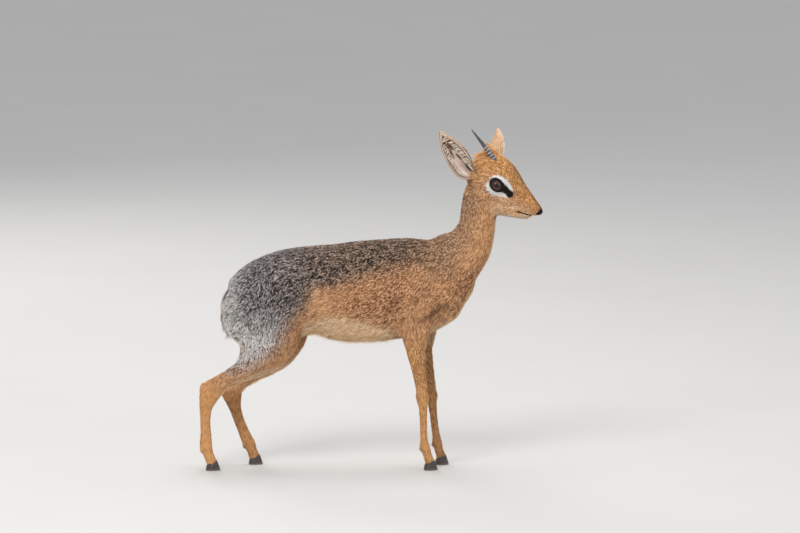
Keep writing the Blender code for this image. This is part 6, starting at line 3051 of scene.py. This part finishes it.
def lie_of_coat(skin: Object, guides: Guides, eyes: EyePlaces) -> tuple[Array, Array, Array]:
    """The regions, the lie of the hair and the nearest guides at the skin's vertices.

    Args:
        skin: The skin.
        guides: The guides.
        eyes: The eyes, round which the hair is parted.

    Returns:
        The shares of each region, the lie, and the nearest guide's number.
    """
    points, normals = vertex_points(skin.data), vertex_normals(skin.data)
    shares, lead, nearest = guides.read(points)
    side = np.abs(normals[:, 1])
    body = shares[:, Kind.TRUNK] + shares[:, Kind.HAUNCH]
    lead[:, 2] -= 0.45 * body * side
    local = eyes.axes.local(points)
    behind = (shares[:, Kind.HEAD] * ramp(local[:, 0], 30, -5))[:, None]
    lead = lead * (1 - behind) + np.array([-0.4, 0, -0.9]) * behind
    from_eye = local - np.array(eyes.place)
    from_eye[:, 1] = 0
    far = np.linalg.norm(from_eye, axis=1)
    push = shares[:, Kind.HEAD] * bell(far - 12, 9) * (np.abs(local[:, 1]) > 10)
    lead += eyes.axes.turn(unit(from_eye)) * (0.9 * push)[:, None]
    ends = edge_ends(skin.data)
    lead = lead - normals * (lead * normals).sum(1, keepdims=True)
    lead = relax(unit(lead), ends, np.full(len(lead), 0.6), 30)
    nape = 4 * shares[:, Kind.HEAD] * shares[:, Kind.NECK]
    lead = relax(lead, ends, 0.9 * ramp(nape, 0.02, 0.4), 90)
    shares = relax(shares, ends, np.full(len(lead), 0.5), 6)
    return shares, unit(lead), nearest


def bare_places(points: Array, eyes: EyePlaces, lips: Lips) -> Array:
    """Where no tufts grow: under the lids, along the lips and in the nostrils.

    Args:
        points: Places in the frame.
        eyes: The eyes.
        lips: The lips and nostrils.

    Returns:
        How bare each place is, from 0 to 1.
    """
    local = eyes.axes.local(points)
    mouth, nose = lips.distances(points)
    bare = ((eyes.opening(local) < eyes.lid_edge) & (np.abs(local[:, 1]) > 12)).astype(float)
    return np.clip(bare + ramp(mouth, 1.9, 1.4) + ramp(nose, 2.5, 1.9), 0, 1)


FLESH_NODES = (
    "head",
    "neck",
    "torso",
    "tail",
    *(f"{part}_{side.word}" for part in ("thigh", "gaskin", "forearm") for side in Side),
    *(
        f"{part}_{leg}_{side.word}"
        for part in ("cannon", "pastern")
        for leg in ("fore", "hind")
        for side in Side
    ),
)
EARS = (
    (
        Side.RIGHT,
        ((172, -17, 506), (140, -33, 532), (117.5, -43, 580)),
        ((-0.25, -0.95, 0.0), (0.3, -0.94, 0.1)),
    ),
    (
        Side.LEFT,
        ((174, 16, 505), (210, 38, 529), (216, 66, 571)),
        ((0.62, 0.68, -0.4), (0.62, 0.68, -0.4)),
    ),
)
FEET = (
    Foot("fore_right", 90, 114, -28),
    Foot("fore_left", 109.5, 133, 28),
    Foot("hind_right", -280, -255, -31),
    Foot("hind_left", -208.5, -184, 31),
)
# What the coat's colours read on the skin itself, in the strands' order. The along of 0.3 darkens the skin
# like hair near its roots, partly painted shade under the coat.
SKIN_STRAND = (0.45, 0.3, 0.4, 1.0)


def main() -> None:
    """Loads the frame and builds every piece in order."""
    logging.basicConfig(level=logging.INFO, format="%(message)s")
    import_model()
    Studio().build()
    plain = HeadAxes()
    eye_low, eye_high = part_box("eye_right")
    middle = (eye_low + eye_high) / 2
    shift = middle - Vector(plain.world(EyePlaces(plain).centre(Side.RIGHT)))
    axes = HeadAxes(shift=tuple(shift))
    eyes = EyePlaces(axes)
    lips = Lips(axes)
    flesh = Flesh(axes)
    tubes = flesh.tubes()
    guides = Guides(tubes)
    maker = Skin(flesh, eyes, BodyReliefs(), lips)
    skin = maker.melt(tubes)
    plan = CoatPlan(axes)
    shares, _, _ = guides.read(vertex_points(skin.data))
    depth = plan.at(vertex_points(skin.data), shares)["depth"]
    whole = maker.sculpt(skin, tubes, depth)
    shares, flow, nearest = lie_of_coat(skin, guides, eyes)
    points, normals = vertex_points(skin.data), vertex_normals(skin.data)
    markings = Markings(axes, eyes, lips, flesh)
    marks = markings.read(points, normals, shares)
    paint_points(skin.data, "marks_a", marks[0])
    paint_points(skin.data, "marks_b", marks[1])
    paint_points(skin.data, "strand", np.tile(SKIN_STRAND, (len(points), 1)))
    finish = CoatFinish()
    group = finish.group()
    dress(skin, finish.material("skin_under_coat", group, bump=0.5))
    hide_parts(*FLESH_NODES)
    bare = bare_places(points, eyes, lips)
    coat = Coat(skin, guides, shares, flow, nearest, plan.at(points, shares), marks, bare)
    hair = HairMaker(finish.material("coat_tufts", group, bump=0.0))
    coat.build(hair)
    wet, lid_skin, horn_look = EyeFinish().material(), BareSkinFinish().material(), HornFinish().material()
    ear_look, hoof_look = EarFinish().material(), HoofFinish().material()
    for side in Side:
        EyeBall(eyes, side).build(wet)
        Lids(eyes, side, whole).build(lid_skin, hair)
        Horn(axes, side).build(horn_look)
    for side, axis, opens in EARS:
        Ear(side, axis, opens, tuple(shift)).build(ear_look, hair)
    for foot in FEET:
        for way in Side:
            Hoof(foot, way, tuple(shift)).build(hoof_look)
    crown = Crest(axes, whole).build(hair)
    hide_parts("crest")
    Whiskers(axes, whole).build(hair)


if __name__ == "__main__":
    main()
